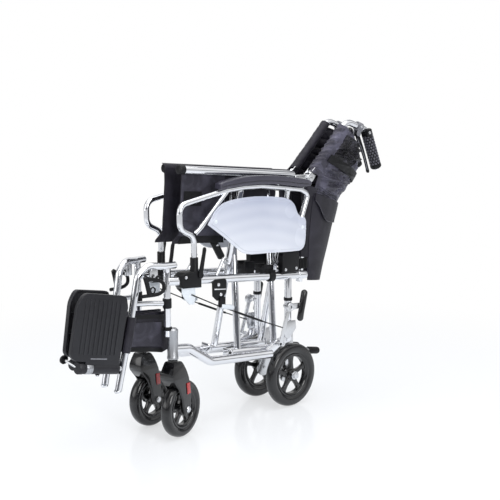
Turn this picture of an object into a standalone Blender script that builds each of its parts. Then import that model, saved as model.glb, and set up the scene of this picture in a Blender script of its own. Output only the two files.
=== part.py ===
"""Folding attendant-propelled wheelchair, folded sideways with the upper back dropped rearwards.

Metres, +Z up. The occupant faces -Y and their left is +X. Every piece is drawn on the left side,
and the right side is its mirror image across X = 0.
"""

from math import asin, cos, degrees, pi, radians, sin, sqrt, tan

import bmesh
import bpy
from mathutils import Matrix, Vector

# Where the chair's reference line, below the seat's middle, lies in the finished frame.
middleShift = 0.06455

# Gaps
seatGap = 0.0003
runGap = 0.00025
looseGap = 0.0006

# Rails, all parallel and falling towards the rear
railSlope = radians(5.0)
frameX = 0.062
railRadius = 0.011
upperRailHeight = 0.3841
lowerRailHeight = 0.1652
lowerRailRadius = 0.0125
upperRailFront = -0.346
upperRailRear = 0.124
railPlugLength = 0.032
lowerKneeY = -0.278
lowerBendY = -0.203
lowerRailEnd = 0.018

# Posts
frontPostX = 0.060
frontPostY = -0.344
frontPostRadius = 0.0088
frontPostTop = upperRailHeight + 0.0539
collarRadius = 0.0112
rearPostY = 0.088
rearPostRadius = 0.0100
rearPostBottom = 0.190

# Casters
casterX = 0.064
casterY = -0.331
casterRadius = 0.075
casterTrail = 0.033
casterTurnLeft = radians(15.5)
casterTurnRight = radians(8.0)
stemRadius = 0.006
stemHousingRadius = 0.0145
stemHousingBottom = 0.2125
stemHousingTop = 0.293
stemBoreTop = 0.276
stemTop = 0.270
forkTop = 0.2065
forkWall = 0.0055
forkRoom = 0.0035
casterAxleRadius = 0.004
casterHeadRadius = 0.0085

# Rear wheels
rearWheelX = 0.065
rearWheelY = 0.097
rearWheelRadius = 0.090
rearAxleRadius = 0.006
rearNutRadius = 0.0098
axlePlateX = 0.0445
axlePlateWall = 0.005
tipTubeRadius = 0.0075
tipTubeX = 0.0405

# Tyres and rims
tyreHalfWidth = 0.014
tyreShoulder = 0.008
casterRimRadius = 0.053
rearRimRadius = 0.063
rimWall = 0.010
rimHalfWidth = 0.0105
tyreSides = 28
spokeCount = 5
spokeHalfWidth = 0.0055
spokeHalfDepth = 0.0055
hubRadius = 0.0165
hubHalfWidth = 0.0155

# Cross brace, folded
pivotX = 0.0375
pivotHeight = 0.176
seatRailHeight = 0.6651
openRailHeight = upperRailHeight + 0.0307
braceTubeRadius = 0.0095
pivotTubeRadius = 0.0110
pivotFront = -0.120
pivotRear = 0.086
pivotPinRadius = 0.0060
pivotPinLength = 0.014
lugWall = 0.006
lugReach = 0.012
strutFront = -0.082
strutRear = 0.056
seatRailFront = -0.272
seatRailRear = 0.128
seatRailCap = 0.016
braceGap = 0.0012
stopShare = 0.58475
stopHeight = pivotHeight + (seatRailHeight - pivotHeight) * stopShare
centrePinRadius = 0.0050

# Cradle that the opened seat rail drops into
cradleY = 0.018
cradleLength = 0.034

# Lower cane of the back and its hinge
caneX = 0.038
caneRadius = 0.0095
caneFoot = Vector((caneX, 0.157, upperRailHeight - 0.0371))
backHinge = Vector((caneX, 0.190, seatRailHeight - 0.0251))
hingePinRadius = 0.004
hingeEyeHalf = 0.008
hingePlateWall = 0.003
hingePlateRadius = 0.0125
backLean = radians(46.0)
caneLength = 0.208
handleReach = 0.092
handleTilt = radians(18.0)
handleDrop = radians(66.0)
gripRadius = 0.0150
gripLength = 0.128
gripRibs = 5

# Armrest
armrestX = 0.067
armTubeRadius = 0.0075
armTongueHalf = 0.004
armHingeY = 0.088
armHingeZ = upperRailHeight + 0.0359
armPinRadius = 0.005
frontArmY = -0.260
socketTop = upperRailHeight + 0.0819
socketBottom = upperRailHeight + 0.0499
sleeveRadius = 0.0105
sleeveBore = 0.0088
armTipRadius = 0.0058
armTipLength = 0.012
padHalfWidth = 0.0135
armTop = socketTop + 0.1640
guardX = armrestX + armTubeRadius + 0.0005
guardWall = 0.003
armLeverX = 0.0782
armLeverY = -0.250
armLeverZ = upperRailHeight + 0.0364
leverWall = 0.006

# Footrest
hangerRadius = 0.009
hangerTop = upperRailHeight + 0.0689
hangerPinRadius = 0.005
hangerPinBottom = upperRailHeight + 0.0259
rightHangerSwing = radians(15.0)
latchX = 0.0742
latchY = -0.384
latchZ = upperRailHeight + 0.0439
footAxisLean = radians(11.0)
footAxle = Vector((0.052, -0.497, 0.2170))
footShaftRadius = 0.007
footBarrelRadius = 0.0140
footBarrelLength = 0.104
footShaftLength = 0.108
footKnobLength = 0.014
footPlateDepth = 0.011
footPlateWall = 0.0035
footRibs = 8
footKnobRadius = 0.0148

# Parking brake
brakeHubY = 0.074
brakeHubZ = 0.291
brakeHubX = 0.0785
brakePinRadius = 0.0045
brakeGripX = 0.0890
brakeGripRadius = 0.0095
brakeShoeArm = 0.1062
brakeShoeAngle = -108.5

# Cloth
clothWall = 0.0022
backWall = 0.003
strapWall = 0.0022
clothHalf = 0.0273
seatLean = radians(7.0)
seatPanel = 0.170
seatSleeveEnd = 100
seatClothFront = -0.2525
seatClothRear = 0.118
seatNotchTop = 0.050
seatNotchRoom = 0.003
strapRoute = (((0.0460, -0.4428, 0.338), (0.0460, -0.4636, 0.252)),
              ((0.0450, -0.395, 0.334), (0.0450, -0.402, 0.242)),
              ((0.0400, -0.345, 0.326), (0.0400, -0.347, 0.230)),
              ((0.0300, -0.316, 0.330), (0.0300, -0.318, 0.236)),
              ((0.0220, -0.326, 0.330), (0.0220, -0.328, 0.236)),
              ((0.0190, -0.410, 0.332), (0.0190, -0.414, 0.238)),
              ((0.0140, -0.416, 0.332), (0.0140, -0.420, 0.238)),
              ((0.0090, -0.408, 0.332), (0.0090, -0.412, 0.238)),
              ((0.0050, -0.330, 0.330), (0.0050, -0.332, 0.236)),
              ((-0.0030, -0.318, 0.330), (-0.0030, -0.320, 0.236)),
              ((-0.0100, -0.330, 0.330), (-0.0100, -0.332, 0.236)),
              ((-0.0140, -0.390, 0.334), (-0.0140, -0.396, 0.242)),
              ((-0.0180, -0.4350, 0.338), (-0.0140, -0.4550, 0.252)))
cableX = 0.0745
cableRadius = 0.0016

foldAxis = Vector((0, cos(railSlope), -sin(railSlope)))
planeUp = Vector((0, sin(railSlope), cos(railSlope)))
axisX = Vector((1, 0, 0))


def railZ(height, y):
    return height - y * tan(railSlope)


def above(base, outline):
    return [(y, base + rise) for y, rise in outline]


def onPivot(x, y, height=pivotHeight):
    return Vector((x, y, railZ(height, y)))


foldedSpan = (seatRailHeight - pivotHeight) * cos(railSlope)
braceLength = 2 * sqrt((foldedSpan / 2) ** 2 + pivotX**2)
foldedLean = asin(2 * pivotX / braceLength)


def clearScene():
    for item in list(bpy.data.objects):
        bpy.data.objects.remove(item, do_unlink=True)


def linked(name, mesh):
    item = bpy.data.objects.new(name, mesh)
    bpy.context.scene.collection.objects.link(item)
    return item


def evaluatedMesh(item):
    graph = bpy.context.evaluated_depsgraph_get()
    return bpy.data.meshes.new_from_object(item.evaluated_get(graph))


def meshFrom(shape, name="shape"):
    mesh = bpy.data.meshes.new(name)
    bmesh.ops.recalc_face_normals(shape, faces=shape.faces)
    shape.to_mesh(mesh)
    shape.free()
    return mesh


def rounded(corners, bend, steps=4):
    """The route through these corners, each turned on an arc of the given radius."""
    points = [Vector(corner) for corner in corners]
    route = [points[0]]
    for before, corner, after in zip(points, points[1:], points[2:]):
        into = (before - corner).normalized()
        out = (after - corner).normalized()
        half = into.angle(out) / 2
        reach = min(bend / tan(half), 0.45 * (before - corner).length, 0.45 * (after - corner).length)
        radius = reach * tan(half)
        centre = corner + (into + out).normalized() * radius / sin(half)
        start = corner + into * reach - centre
        end = corner + out * reach - centre
        turn = start.angle(end)
        for step in range(steps + 1):
            share = step / steps
            route.append(centre + (start * sin((1 - share) * turn) + end * sin(share * turn)) / sin(turn))
    route.append(points[-1])
    return route


def tube(corners, radius, bend=0.03, steps=3, sides=4):
    """A closed tube as a mesh, swept by a bevelled curve."""
    route = rounded(corners, bend, steps)
    curve = bpy.data.curves.new("tube", "CURVE")
    curve.dimensions = "3D"
    curve.bevel_depth = radius
    curve.bevel_resolution = sides - 1
    curve.use_fill_caps = True
    spline = curve.splines.new("POLY")
    spline.points.add(len(route) - 1)
    for point, place in zip(spline.points, route):
        point.co = (*place, 1)
    item = linked("tube", curve)
    mesh = evaluatedMesh(item)
    bpy.data.objects.remove(item, do_unlink=True)
    shape = bmesh.new()
    shape.from_mesh(mesh)
    bmesh.ops.remove_doubles(shape, verts=shape.verts, dist=0.000001)
    return meshFrom(shape)


def along(start, direction):
    """A matrix that stands +Z on the given direction at the given point."""
    return Matrix.Translation(start) @ direction.to_track_quat("Z", "Y").to_matrix().to_4x4()


def turned(profile, centre, direction, sides=24):
    """A solid of revolution: (radius, height) pairs spun about the direction through the centre."""
    shape = bmesh.new()
    rings = []
    for radius, height in profile:
        if radius < 0.00001:
            rings.append([shape.verts.new((0, 0, height))])
            continue
        angles = [2 * pi * side / sides for side in range(sides)]
        rings.append([shape.verts.new((radius * cos(a), radius * sin(a), height)) for a in angles])
    closed = profile[0] == profile[-1]
    if closed:
        rings[-1] = rings[0]
    for low, high in zip(rings, rings[1:]):
        for side in range(sides):
            following = (side + 1) % sides
            corners = [low[side % len(low)], low[following % len(low)]]
            corners += [high[following % len(high)], high[side % len(high)]]
            shape.faces.new(list(dict.fromkeys(corners)))
    if not closed and len(rings[0]) > 1:
        shape.faces.new(rings[0])
    if not closed and len(rings[-1]) > 1:
        shape.faces.new(rings[-1])
    for vert in [vert for vert in shape.verts if not vert.link_faces]:
        shape.verts.remove(vert)
    shape.transform(along(Vector(centre), Vector(direction)))
    return meshFrom(shape)


def rod(start, end, radius, sides=12, chamfer=0.0):
    """A straight round bar, with its ends chamfered if asked."""
    start, end = Vector(start), Vector(end)
    length = (end - start).length
    profile = [(radius, 0), (radius, length)]
    if chamfer:
        profile = [(radius - chamfer, 0), (radius, chamfer), (radius, length - chamfer),
                   (radius - chamfer, length)]
    return turned(profile, start, end - start, sides)


def plate(outline, low, high, bevel=0.0, segments=2):
    """A flat plate across X: its outline holds (y, z) pairs and it spans low to high in x."""
    shape = bmesh.new()
    face = shape.faces.new([shape.verts.new((low, y, z)) for y, z in outline])
    grown = bmesh.ops.extrude_face_region(shape, geom=[face])
    moved = [part for part in grown["geom"] if isinstance(part, bmesh.types.BMVert)]
    bmesh.ops.translate(shape, verts=moved, vec=(high - low, 0, 0))
    bmesh.ops.recalc_face_normals(shape, faces=shape.faces)
    if bevel:
        bmesh.ops.bevel(shape, geom=shape.edges[:], offset=bevel, segments=segments, profile=0.5,
                        affect="EDGES", clamp_overlap=True)
    return meshFrom(shape)


def block(low, high, bevel=0.0, segments=2):
    """A box between two corners."""
    outline = [(low[1], low[2]), (high[1], low[2]), (high[1], high[2]), (low[1], high[2])]
    return plate(outline, low[0], high[0], bevel, segments)


def arc(centre, radius, start, end, steps):
    """Points (y, z) on an arc, with its angles in degrees from +Y towards +Z."""
    places = []
    for step in range(steps + 1):
        angle = radians(start + (end - start) * step / steps)
        places.append((centre[0] + radius * cos(angle), centre[1] + radius * sin(angle)))
    return places


def combined(base, others, operation):
    """The first mesh joined with, or cut by, the others."""
    group = bpy.data.collections.new("helpers")
    bpy.context.scene.collection.children.link(group)
    helpers = [bpy.data.objects.new("helper", mesh) for mesh in others]
    for helper in helpers:
        group.objects.link(helper)
    item = linked("base", base)
    join = item.modifiers.new("combine", "BOOLEAN")
    join.operand_type = "COLLECTION"
    join.collection = group
    join.operation = operation
    join.solver = "EXACT"
    mesh = evaluatedMesh(item)
    for made in [item, *helpers]:
        bpy.data.objects.remove(made, do_unlink=True)
    bpy.data.collections.remove(group)
    return mesh


def fused(*meshes):
    return combined(meshes[0], meshes[1:], "UNION")


def cut(base, *cutters):
    return combined(base, cutters, "DIFFERENCE")


def mirrored(mesh):
    copy = mesh.copy()
    copy.transform(Matrix.Scale(-1, 4, axisX))
    copy.flip_normals()
    return copy


materialTable = {
    "chrome": ((0.82, 0.83, 0.85), 0.12, 1.0),
    "blackPlastic": ((0.018, 0.018, 0.020), 0.42, 0.0),
    "padGrey": ((0.045, 0.047, 0.052), 0.55, 0.0),
    "guardWhite": ((0.86, 0.88, 0.90), 0.35, 0.0),
    "tyreBlack": ((0.020, 0.020, 0.021), 0.75, 0.0),
    "wheelBlack": ((0.022, 0.022, 0.024), 0.38, 0.0),
    "redReflector": ((0.65, 0.03, 0.02), 0.20, 0.0),
    "steel": ((0.60, 0.61, 0.63), 0.28, 1.0),
    "blackCloth": ((0.014, 0.014, 0.017), 0.88, 0.0),
    "cableBlack": ((0.012, 0.012, 0.012), 0.50, 0.0),
    "leverGrey": ((0.16, 0.16, 0.17), 0.40, 0.3),
}


def material(name):
    found = bpy.data.materials.get(name)
    if found:
        return found
    colour, roughness, metallic = materialTable[name]
    made = bpy.data.materials.new(name)
    made.use_nodes = True
    shader = made.node_tree.nodes["Principled BSDF"]
    shader.inputs["Base Color"].default_value = (*colour, 1)
    shader.inputs["Roughness"].default_value = roughness
    shader.inputs["Metallic"].default_value = metallic
    return made


def settle(name, mesh, finish, pivot=(0, 0, 0)):
    """Names the piece and puts its origin on its joint's axis."""
    pivot = Vector(pivot)
    mesh.transform(Matrix.Translation(-pivot))
    mesh.materials.clear()
    mesh.materials.append(material(finish))
    mesh.shade_smooth()
    mesh.set_sharp_from_angle(angle=radians(35))
    mesh.name = name
    item = linked(name, mesh)
    item.location = pivot + Vector((0, middleShift, 0))
    return item


def bothSides(name, mesh, finish, pivot=(0, 0, 0)):
    """Settles the piece as the left one and its mirror image as the right one."""
    twin = mirrored(mesh)
    settle(name + "_left", mesh, finish, pivot)
    settle(name + "_right", twin, finish, (-pivot[0], pivot[1], pivot[2]))


# Side frame

def pivotLug(y, towards, outerX):
    """A lug on the lower rail with the pin that one end of the brace's pivot tube turns on."""
    centre = onPivot(pivotX, y)
    drop = pivotHeight - lowerRailHeight
    root = centre - planeUp * max(lugReach, drop)
    head = centre + planeUp * max(lugReach, -drop)
    wall = foldAxis * lugWall / 2
    corners = [root - wall, root + wall, head + wall, head - wall]
    outer = plate([(corner.y, corner.z) for corner in corners], pivotX - 0.011, outerX)
    pin = rod(centre, centre + foldAxis * towards * (pivotPinLength + lugWall / 2), pivotPinRadius, 10)
    return outer, pin


def sideFrame():
    """The welded frame of one side with its caster tube, axle plate, tipping tube and lower cane."""
    upper = tube([(frameX, upperRailFront, railZ(upperRailHeight, upperRailFront)),
                  (frameX, upperRailRear, railZ(upperRailHeight, upperRailRear))], railRadius)
    plugEnd = upperRailRear + railPlugLength
    plug = rod((frameX, upperRailRear - 0.001, railZ(upperRailHeight, upperRailRear - 0.001)),
               (frameX, plugEnd, railZ(upperRailHeight, plugEnd)), railRadius + 0.0008, 12, 0.002)
    post = rod((frontPostX, frontPostY, stemHousingTop - 0.02), (frontPostX, frontPostY, frontPostTop),
               frontPostRadius, 12)
    collars = [rod((frontPostX, frontPostY, low), (frontPostX, frontPostY, high), collarRadius, 12)
               for low, high in ((upperRailHeight - 0.0381, upperRailHeight - 0.0131),
                                 (stemHousingTop - 0.004, stemHousingTop + 0.005))]
    housing = turned([(stemHousingRadius, stemHousingBottom), (stemHousingRadius, stemHousingTop - 0.004),
                      (stemHousingRadius - 0.004, stemHousingTop)], (casterX, casterY, 0), (0, 0, 1), 14)
    bendZ = railZ(lowerRailHeight, lowerBendY)
    lower = tube([(casterX, casterY, bendZ + 0.055), (frameX, lowerKneeY, bendZ + 0.0485),
                  (frameX, lowerBendY, bendZ), (frameX, lowerRailEnd, railZ(lowerRailHeight, lowerRailEnd))],
                 lowerRailRadius, 0.038)
    rear = rod((frameX, rearPostY, rearPostBottom), onPivot(frameX, rearPostY, upperRailHeight),
               rearPostRadius, 12)
    rearCollar = rod((frameX, rearPostY, 0.305), (frameX, rearPostY, 0.314), rearPostRadius + 0.002, 12)
    gusset = plate([(0.004, 0.157), (0.020, 0.156), (0.035, 0.164), (0.050, 0.1745), (0.064, 0.1805),
                    (0.098, 0.1865), (0.098, 0.208), (0.062, 0.207), (0.004, 0.180)],
                   frameX - 0.0035, frameX + 0.0035)
    parts = [upper, plug, post, *collars, housing, lower, rear, rearCollar, gusset]
    parts += axlePlate() + tippingTube() + lowerCane() + railFittings() + brakePlate()
    parts += pivotLug(pivotFront - lugWall / 2 - looseGap, 1, frameX)
    parts += pivotLug(pivotRear + lugWall / 2 + looseGap, -1, axlePlateX)
    solid = fused(*parts)
    stemBore = rod((casterX, casterY, stemHousingBottom - 0.01), (casterX, casterY, stemBoreTop),
                   stemRadius + runGap, 12)
    hangerBore = rod((frontPostX, frontPostY, hangerPinBottom - 0.002),
                     (frontPostX, frontPostY, frontPostTop + 0.01),
                     hangerPinRadius + runGap, 12)
    return cut(solid, stemBore, hangerBore)


def axlePlate():
    """The plate inboard of the rear wheel, its foot on the rear post, and the axle with its nut."""
    outline = [(0.0905, 0.206), (0.124, 0.206), (0.126, 0.150), (0.122, rearWheelRadius)]
    outline += arc((rearWheelY, rearWheelRadius), 0.025, 0, -180, 6)[1:-1]
    outline += [(0.072, rearWheelRadius), (0.0905, 0.145)]
    low = axlePlateX - axlePlateWall / 2
    sheet = plate(outline, low, low + axlePlateWall)
    foot = block((low + 0.001, 0.092, 0.188), (frameX + 0.004, 0.104, 0.205))
    wheelOut = rearWheelX + hubHalfWidth
    axle = rod((low, rearWheelY, rearWheelRadius), (wheelOut + 0.004, rearWheelY, rearWheelRadius),
               rearAxleRadius, 12)
    washer = rod((low + axlePlateWall - 0.001, rearWheelY, rearWheelRadius),
                 (rearWheelX - hubHalfWidth - looseGap, rearWheelY, rearWheelRadius), 0.010, 10)
    nut = rod((wheelOut + looseGap, rearWheelY, rearWheelRadius),
              (wheelOut + 0.0085, rearWheelY, rearWheelRadius), rearNutRadius, 6)
    return [sheet, foot, axle, washer, nut]


def tippingTube():
    """The tube that the attendant's foot presses, welded to the axle plate."""
    return [tube([(tipTubeX, 0.108, 0.152), (tipTubeX, 0.150, 0.147), (tipTubeX, 0.218, 0.1345)],
                 tipTubeRadius, 0.05, 3)]


def lowerCane():
    """The lower half of the back cane, its stay to the rail, and the eye that the upper half turns on."""
    lean = (backHinge - caneFoot).normalized()
    cane = rod(caneFoot, backHinge - lean * (hingePlateRadius + 0.002), caneRadius, 12)
    across = lean.cross(axisX) * 0.0085
    corners = [backHinge + across, backHinge - across, backHinge - lean * 0.035 - across,
               backHinge - lean * 0.035 + across]
    half = hingeEyeHalf - 0.0006
    neck = plate([(corner.y, corner.z) for corner in corners], caneX - half, caneX + half)
    eye = rod(backHinge - axisX * hingeEyeHalf, backHinge + axisX * hingeEyeHalf, 0.0115, 12)
    catch = plate(above(backHinge.z, [(0.132, 0.0), (0.150, -0.008), (0.186, -0.008), (0.186, 0.003),
                                      (0.172, 0.012), (0.134, 0.012)]),
                  caneX - half + 0.0008, caneX + half - 0.0008)
    bore = rod(backHinge - axisX * 0.02, backHinge + axisX * 0.02, hingePinRadius + runGap, 12)
    stay = rod(Vector((frameX, 0.137, railZ(upperRailHeight, 0.137))), caneFoot + lean * 0.024, 0.007, 10)
    return [cut(fused(cane, neck, eye, catch), bore), stay]


def railFittings():
    """What is fixed to the upper rail: the stay plate, its rod, and the brake cable's barrel."""
    outline = above(upperRailHeight, [(-0.204, 0.0099), (-0.196, 0.0179), (-0.160, 0.0159), (-0.154, 0.0039),
                                      (-0.156, -0.0221), (-0.168, -0.0371), (-0.188, -0.0401),
                                      (-0.203, -0.0261)])
    stayPlate = plate(outline, frameX + 0.0085, frameX + 0.0125)
    stayRod = tube([(frameX + 0.004, -0.183, upperRailHeight + 0.0119),
                    (frameX - 0.004, -0.176, upperRailHeight + 0.0239),
                    (0.0550, -0.148, upperRailHeight + 0.0659)], 0.0042, 0.02, 2, 2)
    clamp = block((frameX + 0.0085, -0.182, upperRailHeight - 0.0581),
                  (frameX + 0.0165, -0.162, upperRailHeight - 0.0321))
    start = Vector((cableX, -0.176, upperRailHeight - 0.0555))
    end = Vector((cableX, -0.130, upperRailHeight - 0.0656))
    bore = rod(start - (end - start), end + (end - start), cableRadius + runGap, 10)
    barrel = cut(fused(clamp, rod(start, end, 0.0070, 10)), bore)
    return [stayPlate, stayRod, barrel]


def brakePlate():
    """The plate under the parking brake, standing off the rear post."""
    sheet = plate([(0.060, 0.252), (0.104, 0.248), (0.106, 0.226), (0.088, 0.206), (0.074, 0.198),
                   (0.062, 0.206), (0.058, 0.226)], frameX + 0.0120, frameX + 0.0150)
    spacers = [rod((frameX, rearPostY, z), (frameX + 0.0135, rearPostY, z), 0.006,
                   8) for z in (0.2240, 0.2430)]
    hubPin = rod((frameX, brakeHubY, brakeHubZ), (brakeHubX + 0.0075, brakeHubY, brakeHubZ),
                 brakePinRadius, 12)
    hubBridge = rod((frameX, rearPostY, brakeHubZ), (frameX, brakeHubY, brakeHubZ), 0.0055, 8)
    return [sheet, *spacers, hubBridge, hubPin]


# Wheels

def tyre(centre, axle, radius, rimRadius):
    """A solid tyre with round shoulders, a flat tread and a bore that the rim fills."""
    flat = tyreHalfWidth - tyreShoulder
    profile = [(rimRadius, -rimHalfWidth)]
    for step in range(3):
        angle = radians(-90 + 45 * step)
        profile.append((radius - tyreShoulder + tyreShoulder * cos(angle), -flat + tyreShoulder * sin(angle)))
    for step in range(3):
        angle = radians(45 * step)
        profile.append((radius - tyreShoulder + tyreShoulder * cos(angle), flat + tyreShoulder * sin(angle)))
    profile += [(rimRadius, rimHalfWidth), (rimRadius, -rimHalfWidth)]
    return turned(profile, centre, axle, tyreSides)


def rim(centre, axle, outer, bore):
    """A wheel centre: a ring, five spokes that widen at both ends, and a hub."""
    inner = outer - rimWall
    ring = turned([(outer, -rimHalfWidth), (outer, rimHalfWidth), (inner, rimHalfWidth - 0.002),
                   (inner, -rimHalfWidth + 0.002), (outer, -rimHalfWidth)],
                  (0, 0, 0), axisX, tyreSides)
    hub = rod((-hubHalfWidth, 0, 0), (hubHalfWidth, 0, 0), hubRadius, 14)
    parts = [ring, hub]
    for index in range(spokeCount):
        turn = Matrix.Rotation(2 * pi * index / spokeCount, 4, "X")
        foot, waist, head = hubRadius - 0.004, (hubRadius + inner) / 2, inner + 0.003
        wide, narrow = spokeHalfWidth + 0.003, spokeHalfWidth
        spoke = plate([(-wide, foot), (wide, foot), (narrow, waist), (wide, head), (-wide, head),
                       (-narrow, waist)], -spokeHalfDepth, spokeHalfDepth)
        spoke.transform(turn)
        parts.append(spoke)
    solid = cut(fused(*parts), rod((-0.03, 0, 0), (0.03, 0, 0), bore, 16))
    solid.transform(Matrix.Translation(centre) @ axle.to_track_quat("X", "Z").to_matrix().to_4x4())
    return solid


def rearWheels():
    centre = Vector((rearWheelX, rearWheelY, rearWheelRadius))
    rubber = tyre(centre, axisX, rearWheelRadius, rearRimRadius)
    middle = rim(centre, axisX, rearRimRadius - seatGap, rearAxleRadius + runGap)
    bothSides("rear_tyre", rubber, "tyreBlack", centre)
    bothSides("rear_rim", middle, "wheelBlack", centre)


def casterFork():
    """The caster's fork, drawn with its stem on Z and its wheel trailing towards +Y."""
    halfOuter = tyreHalfWidth + forkRoom + forkWall
    axle = (casterTrail, casterRadius)
    outline = [(-0.014, forkTop), (0.015, forkTop), (0.024, forkTop - 0.010), (0.041, 0.160), (0.0505, 0.115)]
    outline += arc(axle, 0.0165, 0, -180, 6)
    outline += [(0.011, 0.102), (-0.003, 0.134), (-0.019, 0.153), (-0.0275, 0.164), (-0.0275, 0.175),
                (-0.022, forkTop - 0.014)]
    shell = plate(outline, -halfOuter, halfOuter, 0.003, 1)
    room = rod((-halfOuter + forkWall, *axle), (halfOuter - forkWall, *axle), casterRadius + 0.005, 24)
    underside = block((-halfOuter + forkWall, -0.03, 0.02), (halfOuter - forkWall, 0.12, casterRadius))
    shoulders = []
    for side in (-1, 1):
        wedge = plate([(side * 0.0148, forkTop + 0.002), (side * 0.0170, forkTop - 0.012),
                       (side * (halfOuter + 0.0005), forkTop - 0.046), (side * 0.05, forkTop - 0.046),
                       (side * 0.05, forkTop + 0.002)], -0.08, 0.08)
        wedge.transform(Matrix.Rotation(radians(-90), 4, "Z"))
        shoulders.append(wedge)
    stem = rod((0, 0, forkTop - 0.01), (0, 0, stemTop), stemRadius, 12)
    race = turned([(0.0125, forkTop - 0.003), (0.0125, forkTop + 0.004),
                   (0.0105, stemHousingBottom - looseGap)],
                  (0, 0, 0), (0, 0, 1), 14)
    bore = rod((-0.05, *axle), (0.05, *axle), casterAxleRadius + seatGap, 12)
    return cut(fused(cut(shell, room, underside, *shoulders), stem, race), bore)


def casters():
    """Both casters, each turned on its stem to its own angle."""
    halfOuter = tyreHalfWidth + forkRoom + forkWall
    centre = Vector((0, casterTrail, casterRadius))
    fork = casterFork()
    reflector = plate([(0.0290, 0.116), (0.0440, 0.116), (0.0400, 0.146), (0.0260, 0.146)],
                      halfOuter + seatGap, halfOuter + 0.0025, 0.0006, 1)
    axle = fused(rod(centre - axisX * (halfOuter + 0.002), centre + axisX * (halfOuter + 0.002),
                     casterAxleRadius, 10),
                 rod(centre + axisX * (halfOuter + seatGap), centre + axisX * (halfOuter + 0.0055),
                     casterHeadRadius, 12),
                 rod(centre - axisX * (halfOuter + 0.0055), centre - axisX * (halfOuter + seatGap),
                     casterHeadRadius, 6))
    rubber = tyre(centre, axisX, casterRadius, casterRimRadius)
    middle = rim(centre, axisX, casterRimRadius - seatGap, casterAxleRadius + runGap)
    for side, turn, name in ((1, casterTurnLeft, "_left"), (-1, casterTurnRight, "_right")):
        stand = Matrix.Translation((side * casterX, casterY, 0)) @ Matrix.Rotation(turn, 4, "Z")
        pivots = (stand @ Vector((0, 0, 0)), stand @ centre)
        pieces = (("caster_fork", fork, "blackPlastic", 0),
                  ("caster_reflector", reflector, "redReflector", 0),
                  ("caster_axle", axle, "steel", 0), ("caster_tyre", rubber, "tyreBlack", 1),
                  ("caster_rim", middle, "wheelBlack", 1))
        for label, mesh, finish, pivot in pieces:
            copy = mesh.copy() if side > 0 else mirrored(mesh)
            copy.transform(stand)
            settle(label + name, copy, finish, pivots[pivot])


# Cross brace

def braceHalf(inner):
    """One brace: pivot tube low on the left, two struts, and the seat rail high on the right.

    The inner brace's struts stand between the outer one's and carry the two centre pins.
    """
    step = 2 * braceTubeRadius + braceGap
    fronts = (strutFront, strutRear) if inner else (strutFront - step, strutRear + step)
    lean = -axisX * sin(foldedLean) + planeUp * cos(foldedLean)
    pivotTube = rod(onPivot(pivotX, pivotFront), onPivot(pivotX, pivotRear), pivotTubeRadius, 12)
    railStart = onPivot(-pivotX, seatRailFront + seatRailCap, seatRailHeight)
    railEnd = onPivot(-pivotX, seatRailRear, seatRailHeight)
    seatRail = rod(railStart, railEnd, railRadius, 14)
    cap = rod(onPivot(-pivotX, seatRailFront, seatRailHeight), railStart + foldAxis * 0.002,
              railRadius + 0.0012, 12)
    struts = []
    for y in fronts:
        foot = onPivot(pivotX, y)
        struts.append(rod(foot, foot + lean * braceLength, braceTubeRadius, 12))
    solid = fused(pivotTube, seatRail, cap, *struts)
    bores = []
    for y, direction in ((pivotFront, 1), (pivotRear, -1)):
        end = onPivot(pivotX, y)
        bores.append(rod(end - foldAxis * direction * 0.005,
                         end + foldAxis * direction * (pivotPinLength + 0.003),
                         pivotPinRadius + runGap, 12))
    solid = cut(solid, *bores)
    pins = []
    for y, outward in ((strutFront, -1), (strutRear, 1)):
        centre = onPivot(pivotX, y) + lean * braceLength / 2
        centre.x = 0
        reach = braceTubeRadius + braceGap + 2 * braceTubeRadius
        pins.append((centre, centre + foldAxis * outward * (reach + 0.003),
                     centre + foldAxis * outward * reach,
                     centre + foldAxis * outward * (reach + 0.005)))
    if inner:
        parts = []
        for start, end, headStart, headEnd in pins:
            parts.append(rod(start, end, centrePinRadius, 12))
            parts.append(rod(headStart + (headEnd - headStart).normalized() * looseGap, headEnd, 0.0085, 10))
        return fused(solid, *parts)
    bores = [rod(start, end + (end - start), centrePinRadius + runGap, 12) for start, end, _, _ in pins]
    return cut(solid, *bores)


def braces():
    first = braceHalf(True)
    second = mirrored(braceHalf(False))
    settle("brace_inner", first, "chrome", onPivot(pivotX, 0))
    settle("brace_outer", second, "chrome", (0, 0, (pivotHeight + seatRailHeight) / 2))


def cradle():
    """The black saddle that takes the opened seat rail, clamped round the upper rail."""
    y0, y1 = cradleY - cradleLength / 2, cradleY + cradleLength / 2
    railY = cradleY
    seat = onPivot(pivotX, railY, openRailHeight)
    railCentre = onPivot(frameX, railY, upperRailHeight)
    outer = plate([(y0, seat.z - 0.0347), (y1, seat.z - 0.0377), (y1, seat.z - 0.0015),
                   (y0, seat.z + 0.0015)], pivotX - 0.0175, frameX + 0.004)
    strap = rod(onPivot(frameX, y0 + 0.009, upperRailHeight), onPivot(frameX, y1 - 0.009, upperRailHeight),
                railRadius + 0.004, 16)
    trough = rod(onPivot(pivotX, y0 - 0.02, openRailHeight), onPivot(pivotX, y1 + 0.02, openRailHeight),
                 railRadius + looseGap, 18)
    mouth = block((pivotX - railRadius - looseGap, y0 - 0.02, seat.z),
                  (pivotX + railRadius + looseGap, y1 + 0.02, seat.z + 0.047))
    rail = rod(onPivot(frameX, y0 - 0.02, upperRailHeight), onPivot(frameX, y1 + 0.02, upperRailHeight),
               railRadius + seatGap, 20)
    outside = block((pivotX + railRadius + 0.007, y0 - 0.01, railCentre.z + railRadius + 0.005),
                    (frameX + 0.02, y1 + 0.01, seat.z + 0.047))
    return cut(fused(outer, strap), trough, mouth, rail, outside)



# Seat

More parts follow.
